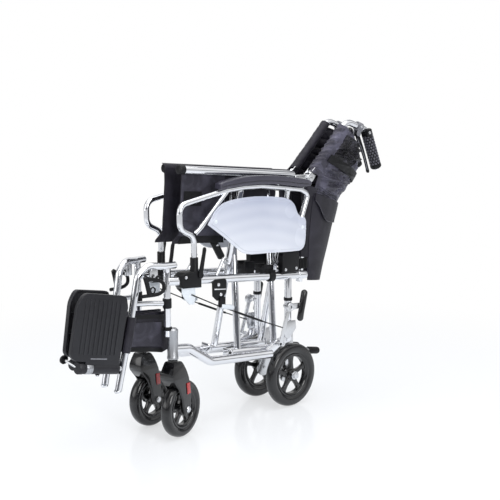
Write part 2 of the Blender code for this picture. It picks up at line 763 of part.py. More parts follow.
def seatHalf():
    """The left half of the seat sling: a sleeve over the seat rail and the panel that hangs from it."""
    low = railRadius + looseGap
    high = low + clothWall
    turn = 180 - degrees(seatLean) - seatSleeveEnd
    angles = [radians(seatSleeveEnd + turn * step / 4) for step in range(5)]
    hang = Vector((-sin(seatLean), -cos(seatLean)))
    inner = [Vector((cos(a), sin(a))) * low for a in angles]
    outer = [Vector((cos(a), sin(a))) * high for a in angles]
    inner.append(inner[-1] + hang * seatPanel)
    outer.append(outer[-1] + hang * seatPanel)
    front = onPivot(pivotX, seatClothFront, seatRailHeight)
    length = (seatClothRear - seatClothFront) / cos(railSlope)
    shape = bmesh.new()
    ring = [shape.verts.new(front + axisX * p.x + planeUp * p.y) for p in inner + outer[::-1]]
    face = shape.faces.new(ring)
    grown = bmesh.ops.extrude_face_region(shape, geom=[face])
    moved = [part for part in grown["geom"] if isinstance(part, bmesh.types.BMVert)]
    bmesh.ops.translate(shape, verts=moved, vec=foldAxis * length)
    panel = meshFrom(shape)
    notches = []
    step = 2 * braceTubeRadius + braceGap
    for y in (strutFront - step / 2, strutRear + step / 2):
        across = foldAxis * (step + seatNotchRoom)
        low = onPivot(0, y) + planeUp * foldedSpan / 2
        high = onPivot(0, y) + planeUp * (foldedSpan - seatNotchTop)
        corners = [low - across, low + across, high + across, high - across]
        notches.append(plate([(corner.y, corner.z) for corner in corners], -0.05, 0.08))
    return cut(panel, *notches)


def clothSheet(rows, wall):
    """A closed sheet of cloth through a grid of points."""
    shape = bmesh.new()
    grid = [[shape.verts.new(point) for point in row] for row in rows]
    for low, high in zip(grid, grid[1:]):
        for left in range(len(low) - 1):
            shape.faces.new((low[left], low[left + 1], high[left + 1], high[left]))
    mesh = bpy.data.meshes.new("sheet")
    shape.to_mesh(mesh)
    shape.free()
    item = linked("sheet", mesh)
    thick = item.modifiers.new("thick", "SOLIDIFY")
    thick.thickness = wall
    thick.offset = 0
    thick.use_even_offset = True
    made = evaluatedMesh(item)
    bpy.data.objects.remove(item, do_unlink=True)
    copy = bmesh.new()
    copy.from_mesh(made)
    return meshFrom(copy)


def foldRow(side, ridge, halfWidth, columns=12):
    """A row of points across a V-shaped fold, from the left cane to the ridge and on to the right cane."""
    row = []
    for column in range(columns + 1):
        share = 1 - 2 * column / columns
        depth = 1 - abs(share) ** 1.25
        x = halfWidth * (1 if share > 0 else -1) * abs(share) ** 0.8
        row.append((x, side[0] + (ridge[0] - side[0]) * depth, side[1] + (ridge[1] - side[1]) * depth))
    return row


def backCloth():
    """The two parts of the back: the skirt between the lower canes and the flap between the upper ones."""
    skirt = [foldRow(side, ridge, clothHalf) for side, ridge in (
        ((0.1612, 0.352), (0.274, 0.337)), ((0.1666, 0.400), (0.290, 0.385)),
        ((0.1728, 0.455), (0.309, 0.436)),
        ((0.1790, 0.510), (0.328, 0.490)), ((0.1848, 0.562), (0.342, 0.532)),
        ((0.1904, 0.612), (0.350, 0.560)))]
    hinge = backHinge.yz
    upper = [foldRow(hinge + Vector(side), hinge + Vector(ridge), clothHalf) for side, ridge in (
        ((0.0349, 0.0287), (0.167, -0.070)), ((0.0564, 0.0495), (0.196, -0.048)),
        ((0.0780, 0.0704), (0.225, -0.026)), ((0.1032, 0.0947), (0.250, 0.000)),
        ((0.1233, 0.1142), (0.251, 0.030)), ((0.1427, 0.1329), (0.244, 0.060)))]
    return clothSheet(skirt, backWall), clothSheet(upper, backWall)


def calfStrap():
    """The strap behind the calves, folded like a W between the hangers."""
    rows = [[high for high, _ in strapRoute], [low for _, low in strapRoute]]
    return clothSheet(rows, strapWall)


# Back

def backCane():
    """The upper half of the back cane: hinge cheeks with their pin, the cane and the handle."""
    lean = Vector((0, sin(backLean), cos(backLean)))
    corner = backHinge + lean * (caneLength + 0.018)
    knee = corner + Vector((0, cos(handleTilt), -sin(handleTilt))) * handleReach
    handle = Vector((0, cos(handleDrop), -sin(handleDrop)))
    end = knee + handle * gripLength
    pipe = tube([backHinge + lean * (hingePlateRadius + 0.001), corner, knee, end], caneRadius, 0.034, 5)
    across = lean.cross(axisX) * hingePlateRadius
    tip = backHinge + lean * 0.034
    low = backHinge - lean * hingePlateRadius * 0.6
    outline = [(point.y, point.z) for point in (
        tip + across * 0.8, tip - across * 0.8, backHinge - across, low - across * 0.8, low + across * 0.8,
        backHinge + across)]
    inside = caneX - hingeEyeHalf - runGap
    outside = caneX + hingeEyeHalf + runGap
    cheeks = [plate(outline, inside - hingePlateWall, inside),
              plate(outline, outside, outside + hingePlateWall)]
    pin = rod(backHinge - axisX * (hingeEyeHalf + 0.004), backHinge + axisX * (hingeEyeHalf + 0.0045),
              hingePinRadius, 12)
    heads = [rod(backHinge + axisX * (outside - caneX + hingePlateWall - 0.001),
                 backHinge + axisX * (outside - caneX + hingePlateWall + 0.0018), 0.0068, 12),
             rod(backHinge - axisX * (outside - caneX + hingePlateWall - 0.001),
                 backHinge - axisX * (outside - caneX + hingePlateWall + 0.0018), 0.0068, 6)]
    return fused(pipe, *cheeks, pin, *heads), knee, handle


def backParts():
    cane, knee, handle = backCane()
    bothSides("back_cane", cane, "chrome", backHinge)
    start = knee + handle * 0.016
    length = gripLength - 0.012
    profile = [(gripRadius - 0.002, 0), (gripRadius, 0.004)]
    pitch = (length - 0.012) / gripRibs
    for rib in range(gripRibs):
        base = 0.006 + pitch * rib
        profile += [(gripRadius, base), (gripRadius - 0.0022, base + pitch * 0.3),
                    (gripRadius, base + pitch * 0.6)]
    profile += [(gripRadius, length - 0.004), (gripRadius - 0.004, length)]
    rubber = turned(profile, start, handle, 12)
    bore = rod(start - handle * 0.01, knee + handle * (gripLength + seatGap), caneRadius + seatGap, 14)
    bothSides("grip", cut(rubber, bore), "blackPlastic", backHinge)
    clampAt = knee + Vector((0, -cos(handleTilt), sin(handleTilt))) * 0.036
    clampDown = Vector((0, -sin(handleTilt), -cos(handleTilt)))
    axis = Vector((0, cos(handleTilt), -sin(handleTilt)))
    collar = rod(clampAt - axis * 0.010, clampAt + axis * 0.010, caneRadius + 0.0042, 16)
    fork = []
    leverPivot = clampAt + clampDown * 0.022
    for side in (-1, 1):
        low, high = sorted((caneX + side * 0.0052, caneX + side * 0.0092))
        corners = [clampAt - axis * 0.009, clampAt + axis * 0.009,
                   leverPivot + axis * 0.007 + clampDown * 0.006,
                   leverPivot - axis * 0.007 + clampDown * 0.006]
        fork.append(plate([(corner.y, corner.z) for corner in corners], low, high))
    pin = rod(leverPivot - axisX * 0.0085, leverPivot + axisX * 0.0085, 0.003, 12)
    solid = cut(fused(collar, *fork), rod(clampAt - axis * 0.03, clampAt + axis * 0.03,
                                          caneRadius + seatGap, 16))
    bothSides("brake_bracket", fused(solid, pin), "leverGrey", backHinge)
    reach = (backHinge + Vector((0, 0.266, -0.006)) - leverPivot).normalized()
    tip = leverPivot + reach * 0.126
    hub = rod(leverPivot - axisX * 0.0046, leverPivot + axisX * 0.0046, 0.0075, 12)
    blade = tube([leverPivot + reach * 0.004, leverPivot + reach * 0.045 - handle.cross(axisX) * 0.004,
                  tip], 0.0045, 0.03, 2, 3)
    knob = rod(tip - reach * 0.004, tip + reach * 0.005, 0.0062, 10)
    hole = rod(leverPivot - axisX * 0.02, leverPivot + axisX * 0.02, 0.003 + runGap, 12)
    bothSides("brake_lever", cut(fused(hub, blade, knob), hole), "chrome", leverPivot)


def caneClamp():
    """The ridged block that holds the lower cane."""
    outline = above(upperRailHeight, [(0.131, 0.0009), (0.180, 0.0009), (0.180, 0.0309), (0.131, 0.0309)])
    body = plate(outline, caneX - 0.0088, caneX + 0.0135, 0.002, 1)
    foot, head = upperRailHeight - 0.005, upperRailHeight + 0.036
    grooves = [block((caneX + 0.0115, y, foot), (caneX + 0.02, y + 0.003, head))
               for y in [0.137 + 0.0062 * index for index in range(6)]]
    lean = (backHinge - caneFoot).normalized()
    bore = rod(caneFoot - lean * 0.01, caneFoot + lean * 0.12, caneRadius + seatGap, 14)
    return cut(body, bore, *grooves)


# Armrest

def armLoop(radius):
    """The bent tube from the front socket over the pad's underside and down to the hinge."""
    low, top = socketTop, armTop
    route = [(frontArmY, low + seatGap + 0.001), (frontArmY, low + 0.0560), (-0.284, low + 0.0680),
             (-0.3050, low + 0.0900), (-0.3050, top - 0.0420), (-0.2880, top - 0.0240),
             (-0.150, top + 0.0005), (-0.0900, top + 0.0045), (-0.0200, top + 0.0035),
             (0.0650, top - 0.0070), (0.1300, top - 0.0160), (0.1600, top - 0.0300),
             (0.1400, top - 0.0800), (0.107, armHingeZ + 0.048)]
    return tube([(armrestX, y, z) for y, z in route], radius, 0.022, 2)


def armrest():
    """The armrest's tube with its front leg, its strut and the tongue that turns in the hinge box."""
    hinge = Vector((armrestX, armHingeY, armHingeZ))
    start = Vector((armrestX, 0.107, armHingeZ + 0.048))
    low, top = socketTop, armTop
    loop = armLoop(armTubeRadius)
    strut = tube([(armrestX, -0.2570, low + 0.0600), (armrestX, -0.238, low + 0.0740),
                  (armrestX, -0.146, top - 0.0020)], 0.0068, 0.02, 2, 3)
    tip = rod((armrestX, frontArmY, socketTop - armTipLength), (armrestX, frontArmY, socketTop + 0.004),
              armTipRadius, 10)
    along = (start - hinge).normalized()
    across = along.cross(axisX)
    corners = [start + along * 0.006 + across * 0.0072, hinge + across * 0.0085]
    outline = [(corners[0].y, corners[0].z), (corners[1].y, corners[1].z)]
    outline += [(point.y, point.z) for point in (
        hinge - along * 0.006 + across * 0.006, hinge - along * 0.0085,
        hinge - along * 0.006 - across * 0.006,
        hinge - across * 0.0085, start + along * 0.006 - across * 0.0072)]
    tongue = plate(outline, armrestX - armTongueHalf, armrestX + armTongueHalf)
    hole = rod(hinge - axisX * 0.02, hinge + axisX * 0.02, armPinRadius + runGap, 14)
    return cut(fused(loop, strut, tip, tongue), hole)


def armHingeBox():
    """The black box on the upper rail that the armrest's tongue turns in."""
    low, high = armrestX - 0.0125, armrestX + 0.0078
    outline = above(armHingeZ, [(0.054, -0.036), (0.120, -0.036), (0.120, 0.016), (0.112, 0.024),
                                (0.062, 0.024), (0.054, 0.016)])
    body = plate(outline, low, high, 0.002, 1)
    slot = plate([(armHingeY - 0.014, armHingeZ - 0.0170), (armHingeY + 0.020, armHingeZ - 0.0170),
                  (armHingeY + 0.050, armHingeZ - 0.034), (armHingeY + 0.05, armHingeZ + 0.05),
                  (armHingeY - 0.014, armHingeZ + 0.05)],
                 armrestX - armTongueHalf - looseGap, armrestX + armTongueHalf + looseGap)
    rail = rod(onPivot(frameX, 0.03, upperRailHeight), onPivot(frameX, 0.135, upperRailHeight),
               railRadius + seatGap, 20)
    pin = rod((low + 0.002, armHingeY, armHingeZ), (high - 0.002, armHingeY, armHingeZ), armPinRadius, 14)
    return fused(cut(body, slot, rail), pin)


def armrestPad():
    outline = above(armTop, [(-0.1770, 0.0030), (-0.1770, 0.0200), (-0.1500, 0.0262), (-0.0970, 0.0325),
                             (-0.0445, 0.0335), (0.0095, 0.0302), (0.0645, 0.0245), (0.1141, 0.0175),
                             (0.1500, 0.0105), (0.1640, 0.0015), (0.1600, -0.0060), (0.1450, -0.0075),
                             (0.1300, -0.0085), (0.1141, -0.0060), (0.0645, 0.0005), (0.0095, 0.0075),
                             (-0.0445, 0.0110), (-0.0970, 0.0110), (-0.1500, 0.0070)])
    body = plate(outline, armrestX - padHalfWidth, armrestX + padHalfWidth, 0.0040, 1)
    return cut(body, armLoop(armTubeRadius + seatGap))


def sideGuard():
    """The clothing guard: a thin panel with a rolled border and the two clips behind it."""
    outline = above(armTop, [(-0.2395, -0.0560), (-0.2240, -0.0480), (-0.1573, -0.0361), (-0.1127, -0.0230),
                             (-0.0540, -0.0214), (-0.0004, -0.0253), (0.0548, -0.0328), (0.0850, -0.0445),
                             (0.1000, -0.0610), (0.1090, -0.0800), (0.1200, -0.0900), (0.1373, -0.0943),
                             (0.1430, -0.1060), (0.1426, -0.1226), (0.1410, -0.1560), (0.1340, -0.1770),
                             (0.1150, -0.1855), (0.0558, -0.1828), (-0.0134, -0.1785), (-0.0672, -0.1759),
                             (-0.1000, -0.1680), (-0.1259, -0.1502), (-0.1640, -0.1225), (-0.2244, -0.0825),
                             (-0.2395, -0.0670)])
    sheet = plate(outline, guardX, guardX + guardWall, 0.0009, 1)
    centre = Vector((0, sum(y for y, _ in outline) / len(outline), sum(z for _, z in outline) / len(outline)))
    inner = [(centre.y + (y - centre.y) * 0.93, centre.z + (z - centre.z) * 0.90) for y, z in outline]
    panel = plate(inner, guardX + guardWall - 0.0005, guardX + guardWall + 0.0012)
    return fused(sheet, panel)


def armSocket():
    """The clamp on the upper rail, its sleeve for the armrest's front leg, and the cable's anchor."""
    outline = above(upperRailHeight, [(-0.304, 0.0064), (-0.243, 0.0024), (-0.243, 0.0429), (-0.254, 0.0479),
                                      (-0.298, 0.0479), (-0.312, 0.0399), (-0.312, 0.0209)])
    body = plate(outline, frameX - 0.0155, frameX + 0.0155, 0.002, 1)
    sleeve = turned([(sleeveRadius + 0.001, socketBottom - 0.006), (sleeveRadius + 0.001, socketBottom),
                     (sleeveRadius, socketBottom + 0.003),
                     (sleeveRadius, socketTop)],
                    (armrestX, frontArmY, 0), (0, 0, 1), 16)
    bore = rod((armrestX, frontArmY, socketBottom + 0.001), (armrestX, frontArmY, socketTop + 0.014),
               sleeveBore, 16)
    rail = rod(onPivot(frameX, -0.335, upperRailHeight), onPivot(frameX, -0.23, upperRailHeight),
               railRadius + seatGap, 18)
    pin = rod((frameX + 0.012, armLeverY, armLeverZ), (armLeverX + 0.0048, armLeverY, armLeverZ), 0.0035, 12)
    outline = above(upperRailHeight, [(-0.306, 0.0099), (-0.262, 0.0099), (-0.262, -0.0181),
                                      (-0.266, -0.0381), (-0.282, -0.0361), (-0.300, -0.0161),
                                      (-0.306, -0.0041)])
    anchor = plate(outline, cableX - 0.0035, cableX - 0.0010)
    return fused(cut(fused(body, sleeve), bore, rail), pin, anchor)


def armLever():
    """The release lever beside the socket, which turns on the socket's pin."""
    start = Vector((armLeverX, armLeverY, armLeverZ))
    low, high = armLeverX, armLeverX + leverWall
    hub = rod((low, armLeverY, armLeverZ), (high, armLeverY, armLeverZ), 0.0080, 14)
    outline = above(armLeverZ, [(armLeverY - 0.006, 0.0), (armLeverY + 0.006, 0.0),
                                (armLeverY + 0.019, 0.0675), (armLeverY + 0.014, 0.0715),
                                (armLeverY + 0.007, 0.0695)])
    arm = plate(outline, low + 0.0006, high - 0.0006)
    hole = rod((low - 0.01, armLeverY, armLeverZ), (low + 0.0051, armLeverY, armLeverZ), 0.0035 + runGap, 12)
    return cut(fused(hub, arm), hole), start


def armrestParts():
    hinge = (armrestX, armHingeY, armHingeZ)
    bothSides("armrest_frame", armrest(), "chrome", hinge)
    bothSides("armrest_pad", armrestPad(), "padGrey", hinge)
    bothSides("side_guard", sideGuard(), "guardWhite", hinge)
    bothSides("armrest_hinge", armHingeBox(), "blackPlastic")
    bothSides("armrest_socket", armSocket(), "blackPlastic")
    lever, pivot = armLever()
    bothSides("armrest_lever", lever, "blackPlastic", pivot)


# Footrest

footAxis = Vector((0, -cos(footAxisLean), sin(footAxisLean)))
footUp = Vector((0, sin(footAxisLean), cos(footAxisLean)))


def footPoint(forward, up, x=0.0):
    return footAxle + footAxis * forward + footUp * up + axisX * x


def footPrism(outline, low, high, bevel=0.0, segments=2):
    """A plate drawn in the folded footplate's own plane."""
    points = [footPoint(forward, up) for forward, up in outline]
    return plate([(point.y, point.z) for point in points], footAxle.x + low, footAxle.x + high, bevel,
                 segments)


def platePeg():
    """The peg with a disc on the front knob of the left footplate."""
    root = footPoint(footBarrelLength + 0.0100, 0)
    tip = root + Vector((-0.052, -0.004, 0.011))
    peg = rod(root, tip, 0.0036, 10)
    along = (tip - root).normalized()
    disc = rod(tip - along * 0.002, tip + along * 0.006, 0.0110, 14, 0.0015)
    return peg, disc


def hanger():
    """The footrest hanger: its pin in the front post, the bent tube, the side stay and the plate's axle."""
    pipe = tube([(frontPostX, -0.3200, hangerTop), (frontPostX, -0.3520, hangerTop + 0.001),
                 (0.055, -0.398, hangerTop + 0.006), (0.052, -0.4285, hangerTop - 0.013),
                 (0.052, -0.450, 0.340),
                 (0.052, -0.472, 0.249), (0.052, -0.494, 0.162)], hangerRadius, 0.030, 3)
    pin = rod((frontPostX, frontPostY, hangerPinBottom), (frontPostX, frontPostY, hangerTop),
              hangerPinRadius, 12)
    washer = rod((frontPostX, frontPostY, frontPostTop + looseGap), (frontPostX, frontPostY, hangerTop),
                 0.0085, 12)
    stay = tube([(0.052, -0.4435, 0.369), (0.054, -0.400, 0.365), (frontPostX - 0.001, -0.3580, 0.360)],
                0.0065, 0.03, 2, 3)
    shaft = rod(footPoint(-0.020, 0), footPoint(footShaftLength, 0), footShaftRadius, 14)
    lug = block((0.0540, -0.394, latchZ - 0.008), (0.0625, -0.374, latchZ + 0.024))
    latchPin = rod((0.060, latchY, latchZ), (latchX + 0.0022, latchY, latchZ), 0.0035, 12)
    return fused(pipe, pin, washer, stay, shaft, lug, latchPin)


def hangerLatch():
    """The wire pull that frees the hanger: a hub, a short bar and a ring."""
    hub = rod((latchX - 0.0012, latchY, latchZ), (latchX + 0.0030, latchY, latchZ), 0.0085, 12)
    hole = rod((latchX - 0.01, latchY, latchZ), (latchX + 0.0024, latchY, latchZ), 0.0035 + runGap, 12)
    tail = block((latchX - 0.0008, -0.408, latchZ - 0.006), (latchX + 0.0024, latchY, latchZ + 0.004))
    bar = plate(above(latchZ, [(latchY + 0.003, 0.006), (latchY - 0.004, -0.006), (-0.348, -0.0535),
                               (-0.342, -0.0465)]), latchX - 0.0008, latchX + 0.0026)
    ring = turned([(0.0110, -0.0015), (0.0110, 0.0015), (0.0070, 0.0015), (0.0070, -0.0015),
                   (0.0110, -0.0015)],
                  (latchX + 0.0010, -0.3400, latchZ - 0.0580), axisX, 14)
    return cut(fused(hub, tail, bar, ring), hole)


def footplate():
    """The moulded footplate, folded up: barrel, tread with raised ribs, and the hollow underside."""
    barrel = rod(footPoint(0, 0), footPoint(footBarrelLength, 0), footBarrelRadius, 16)
    clear = footBarrelLength - 0.0015
    outline = [(0.002, 0.008), (clear, 0.008), (clear, 0.0175), (0.123, 0.0175), (0.143, 0.025),
               (0.1475, 0.034), (0.1475, 0.142), (0.1440, 0.154), (0.132, 0.1745), (0.124, 0.1795),
               (0.016, 0.1795), (0.006, 0.1745), (-0.002, 0.152), (0.002, 0.100)]
    sheet = footPrism(outline, 0.0, footPlateDepth, 0.0016, 1)
    hollow = footPrism([(0.010, 0.024), (0.139, 0.030), (0.140, 0.145), (0.124, 0.172), (0.018, 0.172),
                        (0.007, 0.150)], -0.01, footPlateDepth - footPlateWall)
    webs = [footPrism([(0.005, up), (0.144, up), (0.144, up + 0.003), (0.005, up + 0.003)], 0.001,
                      footPlateDepth - 0.001) for up in (0.072, 0.122)]
    ribs = []
    for index in range(footRibs):
        forward = 0.022 + index * 0.0135
        ribs.append(footPrism([(forward, 0.036), (forward + 0.0055, 0.036), (forward + 0.0055, 0.164),
                               (forward, 0.164)], footPlateDepth - 0.001, footPlateDepth + 0.0014))
    stop = rod(footPoint(0.056, -0.010), footPoint(0.056, -0.020), 0.0055, 8)
    knob = rod(footPoint(footBarrelLength - 0.001, 0), footPoint(footBarrelLength + footKnobLength, 0),
               footKnobRadius, 16)
    hole = rod(footPoint(-0.02, 0), footPoint(footShaftLength + looseGap, 0), footShaftRadius + runGap, 14)
    return cut(fused(cut(sheet, hollow), barrel, knob, stop, *webs, *ribs), hole)


def footParts():
    """Both footrests: the right one stands swung in behind the left one, as the folded chair shows it."""
    post = Vector((frontPostX, frontPostY, hangerTop))
    body = hanger()
    latch = hangerLatch()
    latchPivot = Vector((latchX, latchY, latchZ))
    pad = footplate()
    swing = (Matrix.Translation((-frontPostX, frontPostY, 0)) @ Matrix.Rotation(rightHangerSwing, 4, "Z")
             @ Matrix.Translation((frontPostX, -frontPostY, 0)))
    for label, mesh, finish, pivot in (("hanger", body, "chrome", post),
                                       ("hanger_latch", latch, "blackPlastic", latchPivot),
                                       ("footplate", pad, "blackPlastic", footPoint(0, 0))):
        twin = mirrored(mesh)
        twin.transform(swing)
        opposite = swing @ Vector((-pivot.x, pivot.y, pivot.z))
        if label == "footplate":
            mesh = fused(mesh, *platePeg())
        settle(label + "_left", mesh, finish, pivot)
        settle(label + "_right", twin, finish, opposite)


# Brake and small parts

def parkingBrake():
    """The bell crank of the parking brake: hub, upright grip on its arm, and the peg that meets the tyre."""
    hub = Vector((brakeHubX, brakeHubY, brakeHubZ))
    boss = rod(hub - axisX * 0.0005, hub + axisX * 0.0095, 0.0125, 16)
    foot = Vector((brakeGripX, 0.1095, 0.2560))
    head = Vector((brakeGripX, 0.1255, 0.3250))
    span = (head - foot).length
    profile = [(brakeGripRadius * cos(radians(a)), brakeGripRadius * sin(radians(a))) for a in (-70, -35, 0)]
    profile += [(brakeGripRadius * cos(radians(a)),
                 span + brakeGripRadius * sin(radians(a))) for a in (0, 35, 70)]
    grip = turned(profile, foot, head - foot, 12)
    arm = plate([(brakeHubY, brakeHubZ - 0.009), (brakeHubY, brakeHubZ + 0.009), (0.118, 0.297),
                 (0.118, 0.283)],
                brakeHubX + 0.0004, brakeHubX + 0.009)
    angle = radians(brakeShoeAngle)
    shoe = hub + Vector((0, cos(angle), sin(angle))) * brakeShoeArm
    across = Vector((0, -sin(angle), cos(angle))) * 0.0055
    along = Vector((0, cos(angle), sin(angle))) * 0.005
    corners = [hub + across * 1.3, hub - across * 1.3, shoe - across + along, shoe + across + along]
    shank = plate([(corner.y, corner.z) for corner in corners], brakeHubX, brakeHubX + 0.003)
    peg = rod((brakeHubX + 0.003, shoe.y, shoe.z), (brakeHubX - 0.011, shoe.y, shoe.z), 0.005, 12)
    hole = rod(hub - axisX * 0.02, hub + axisX * 0.0078, brakePinRadius + runGap, 12)
    return cut(fused(boss, grip, arm, shank, peg), hole), hub


def tipCap():
    along = (Vector((tipTubeX, 0.218, 0.1345)) - Vector((tipTubeX, 0.150, 0.147))).normalized()
    end = Vector((tipTubeX, 0.218, 0.1345))
    start = end - along * 0.026
    body = rod(start, end + along * 0.018, 0.0105, 12, 0.0025)
    bore = rod(start - along * 0.01, end + along * 0.0003, tipTubeRadius + seatGap, 14)
    return cut(body, bore)


def brakeCable():
    """The brake's inner wire, from its anchor through the adjuster to the plate by the rear wheel."""
    rise = upperRailHeight
    return tube([(cableX, -0.2612, rise - 0.0309), (cableX, -0.230, rise - 0.0416),
                 (cableX, -0.176, rise - 0.0555), (cableX, -0.130, rise - 0.0656),
                 (cableX, -0.095, rise - 0.0751), (cableX, -0.020, rise - 0.1161),
                 (cableX, 0.0572, 0.2330)], cableRadius, 0.05, 2, 2)


def braceStop():
    """The black buffer on the outer brace's front strut, with the saddle that sits against the tube."""
    frontStrut = strutFront - 2 * braceTubeRadius - braceGap
    face = frontStrut - braceTubeRadius
    foot = onPivot(-pivotX, frontStrut)
    lean = axisX * sin(foldedLean) + planeUp * cos(foldedLean)
    middle = foot + lean * (stopHeight - foot.z) / lean.z
    bar = tube([(middle.x - 0.0022, face - 0.0052, stopHeight + 0.022),
                (middle.x - 0.0112, face - 0.0075, stopHeight - 0.022)], 0.0062, 0.01, 2, 3)
    saddle = block((middle.x - 0.007, face - 0.0062, stopHeight - 0.007),
                   (middle.x + 0.007, middle.y - 0.003, stopHeight + 0.007))
    strut = rod(foot, foot + lean * braceLength, braceTubeRadius + seatGap, 16)
    return fused(bar, cut(saddle, strut))


def smallParts():
    crank, hub = parkingBrake()
    bothSides("parking_brake", crank, "blackPlastic", hub)
    bothSides("tip_cap", tipCap(), "blackPlastic")
    bothSides("brake_cable", brakeCable(), "cableBlack")
    bothSides("cane_clamp", caneClamp(), "blackPlastic")
    bothSides("rail_cradle", cradle(), "blackPlastic")
    settle("brace_stop", braceStop(), "blackPlastic", (0, 0, (pivotHeight + seatRailHeight) / 2))


def cloths():
    half = seatHalf()
    bothSides("seat", half, "blackCloth", onPivot(pivotX, 0, seatRailHeight))
    skirt, upper = backCloth()
    settle("back_skirt", skirt, "blackCloth")
    settle("back_upper", upper, "blackCloth", (0, backHinge.y, backHinge.z))
    settle("calf_strap", calfStrap(), "blackCloth")


if __name__ == "__main__":
    clearScene()
    bothSides("side_frame", sideFrame(), "chrome")
    rearWheels()
    casters()
    braces()
    cloths()
    backParts()
    armrestParts()
    footParts()
    smallParts()
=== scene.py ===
from functools import partial
from math import atan2, cos, pi, radians, sin, sqrt, tan

import bpy
from mathutils import Matrix, Vector, noise


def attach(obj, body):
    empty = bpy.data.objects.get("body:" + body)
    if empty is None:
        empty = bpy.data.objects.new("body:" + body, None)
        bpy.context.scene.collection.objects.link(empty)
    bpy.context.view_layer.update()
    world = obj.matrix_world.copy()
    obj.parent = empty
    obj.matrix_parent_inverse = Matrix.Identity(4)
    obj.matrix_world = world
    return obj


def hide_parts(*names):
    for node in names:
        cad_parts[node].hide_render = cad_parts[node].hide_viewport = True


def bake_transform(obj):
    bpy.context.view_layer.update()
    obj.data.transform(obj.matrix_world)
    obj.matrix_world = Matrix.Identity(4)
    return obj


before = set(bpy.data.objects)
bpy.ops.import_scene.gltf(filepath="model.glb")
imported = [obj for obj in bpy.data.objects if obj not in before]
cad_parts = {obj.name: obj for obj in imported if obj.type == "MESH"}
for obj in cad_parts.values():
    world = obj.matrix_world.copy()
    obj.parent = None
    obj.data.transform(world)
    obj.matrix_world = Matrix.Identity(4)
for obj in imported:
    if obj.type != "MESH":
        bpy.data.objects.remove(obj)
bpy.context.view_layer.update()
for item in bpy.context.selected_objects:
    item.select_set(False)
print("frame loaded")

# the chair's own reference line lies this far behind the frame's origin
chairSet = {"shift": 0.06455, "railSlope": radians(5.0), "upperRail": 0.3841, "seatRail": 0.6651}
axisX = Vector((1, 0, 0))


def at(x, y, z):
    return Vector((x, y + chairSet["shift"], z))


def fold(start, end, share):
    return start + (end - start) * share


# shader groups that several finishes share


def newGroup(name, inputs, outputs):
    # every group reads one vector and some plain numbers
    group = bpy.data.node_groups.new(name, "ShaderNodeTree")
    group.interface.new_socket("Vector", in_out="INPUT", socket_type="NodeSocketVector")
    for label, value in inputs.items():
        socket = group.interface.new_socket(label, in_out="INPUT", socket_type="NodeSocketFloat")
        socket.default_value = value
    for label in outputs:
        group.interface.new_socket(label, in_out="OUTPUT", socket_type="NodeSocketFloat")
    return group, group.nodes.new("NodeGroupInput").outputs, group.nodes.new("NodeGroupOutput")


def setInput(tree, socket, value):
    # a plain value is set on the socket, a node's output is linked to it
    if isinstance(value, bpy.types.NodeSocket):
        tree.links.new(value, socket)
    else:
        socket.default_value = value


def addNode(tree, kind, **values):
    node = tree.nodes.new(kind)
    for key, value in values.items():
        if hasattr(node, key):
            setattr(node, key, value)
        else:
            setInput(tree, node.inputs[key], value)
    return node


def mathNode(tree, operation, *values):
    node = addNode(tree, "ShaderNodeMath", operation=operation)
    for socket, value in zip(node.inputs, values):
        setInput(tree, socket, value)
    return node.outputs[0]


def product(tree, first, second):
    return mathNode(tree, "MULTIPLY", first, second)


def scaled(tree, value, span, base):
    return mathNode(tree, "MULTIPLY_ADD", value, span, base)


def mixColour(tree, share, first, second):
    node = addNode(tree, "ShaderNodeMix", data_type="RGBA")
    for index, value in ((0, share), (6, first), (7, second)):
        setInput(tree, node.inputs[index], (*value, 1) if isinstance(value, tuple) else value)
    return node.outputs[2]


def mixShader(tree, share, first, second):
    node = tree.nodes.new("ShaderNodeMixShader")
    for socket, value in zip(node.inputs, (share, first, second)):
        tree.links.new(value, socket)
    return node.outputs[0]


def ramp(tree, value, low, high):
    span = {"From Min": low, "From Max": high}
    return addNode(tree, "ShaderNodeMapRange", Value=value, **span).outputs["Result"]


def finishGroup(group, end, **outputs):
    for key, value in outputs.items():
        group.links.new(value, end.inputs[key])
    return group


def noiseOf(tree, vector, scale, **values):
    return addNode(tree, "ShaderNodeTexNoise", Vector=vector, Scale=scale, **values).outputs["Fac"]


def makeMouldGrain():
    group, given, end = newGroup("mouldGrain", {"Scale": 900.0, "Patches": 14.0}, ("Height", "Patch"))
    fine = noiseOf(group, given["Vector"], given["Scale"], Detail=3.0, Roughness=0.6)
    cells = addNode(group, "ShaderNodeTexVoronoi", feature="F1", Vector=given["Vector"], Scale=given["Scale"])
    broad = noiseOf(group, given["Vector"], given["Patches"], Detail=2.0, Roughness=0.5)
    height = mathNode(group, "ADD", product(group, fine, 0.6), product(group, cells.outputs["Distance"], 0.5))
    return finishGroup(group, end, Height=height, Patch=ramp(group, broad, 0.3, 0.7))


def makeHandlingMarks():
    group, given, end = newGroup("handlingMarks", {"Scale": 40.0, "Amount": 0.5}, ("Mask",))
    turn = {"Scale": (1.0, 9.0, 1.0), "Rotation": (0.3, 0.5, 0.7)}
    stretch = addNode(group, "ShaderNodeMapping", Vector=given["Vector"], **turn).outputs["Vector"]
    lines = noiseOf(group, stretch, given["Scale"], Detail=5.0, Roughness=0.7)
    return finishGroup(group, end, Mask=product(group, ramp(group, lines, 0.64, 0.82), given["Amount"]))


def makeEdgeRub():
    group, given, end = newGroup("edgeRub", {"Low": 0.54, "High": 0.64}, ("Mask",))
    shape = group.nodes.new("ShaderNodeNewGeometry")
    edge = ramp(group, shape.outputs["Pointiness"], given["Low"], given["High"])
    broken = ramp(group, noiseOf(group, given["Vector"], 130.0, Detail=3.0), 0.4, 0.7)
    return finishGroup(group, end, Mask=product(group, edge, broken))


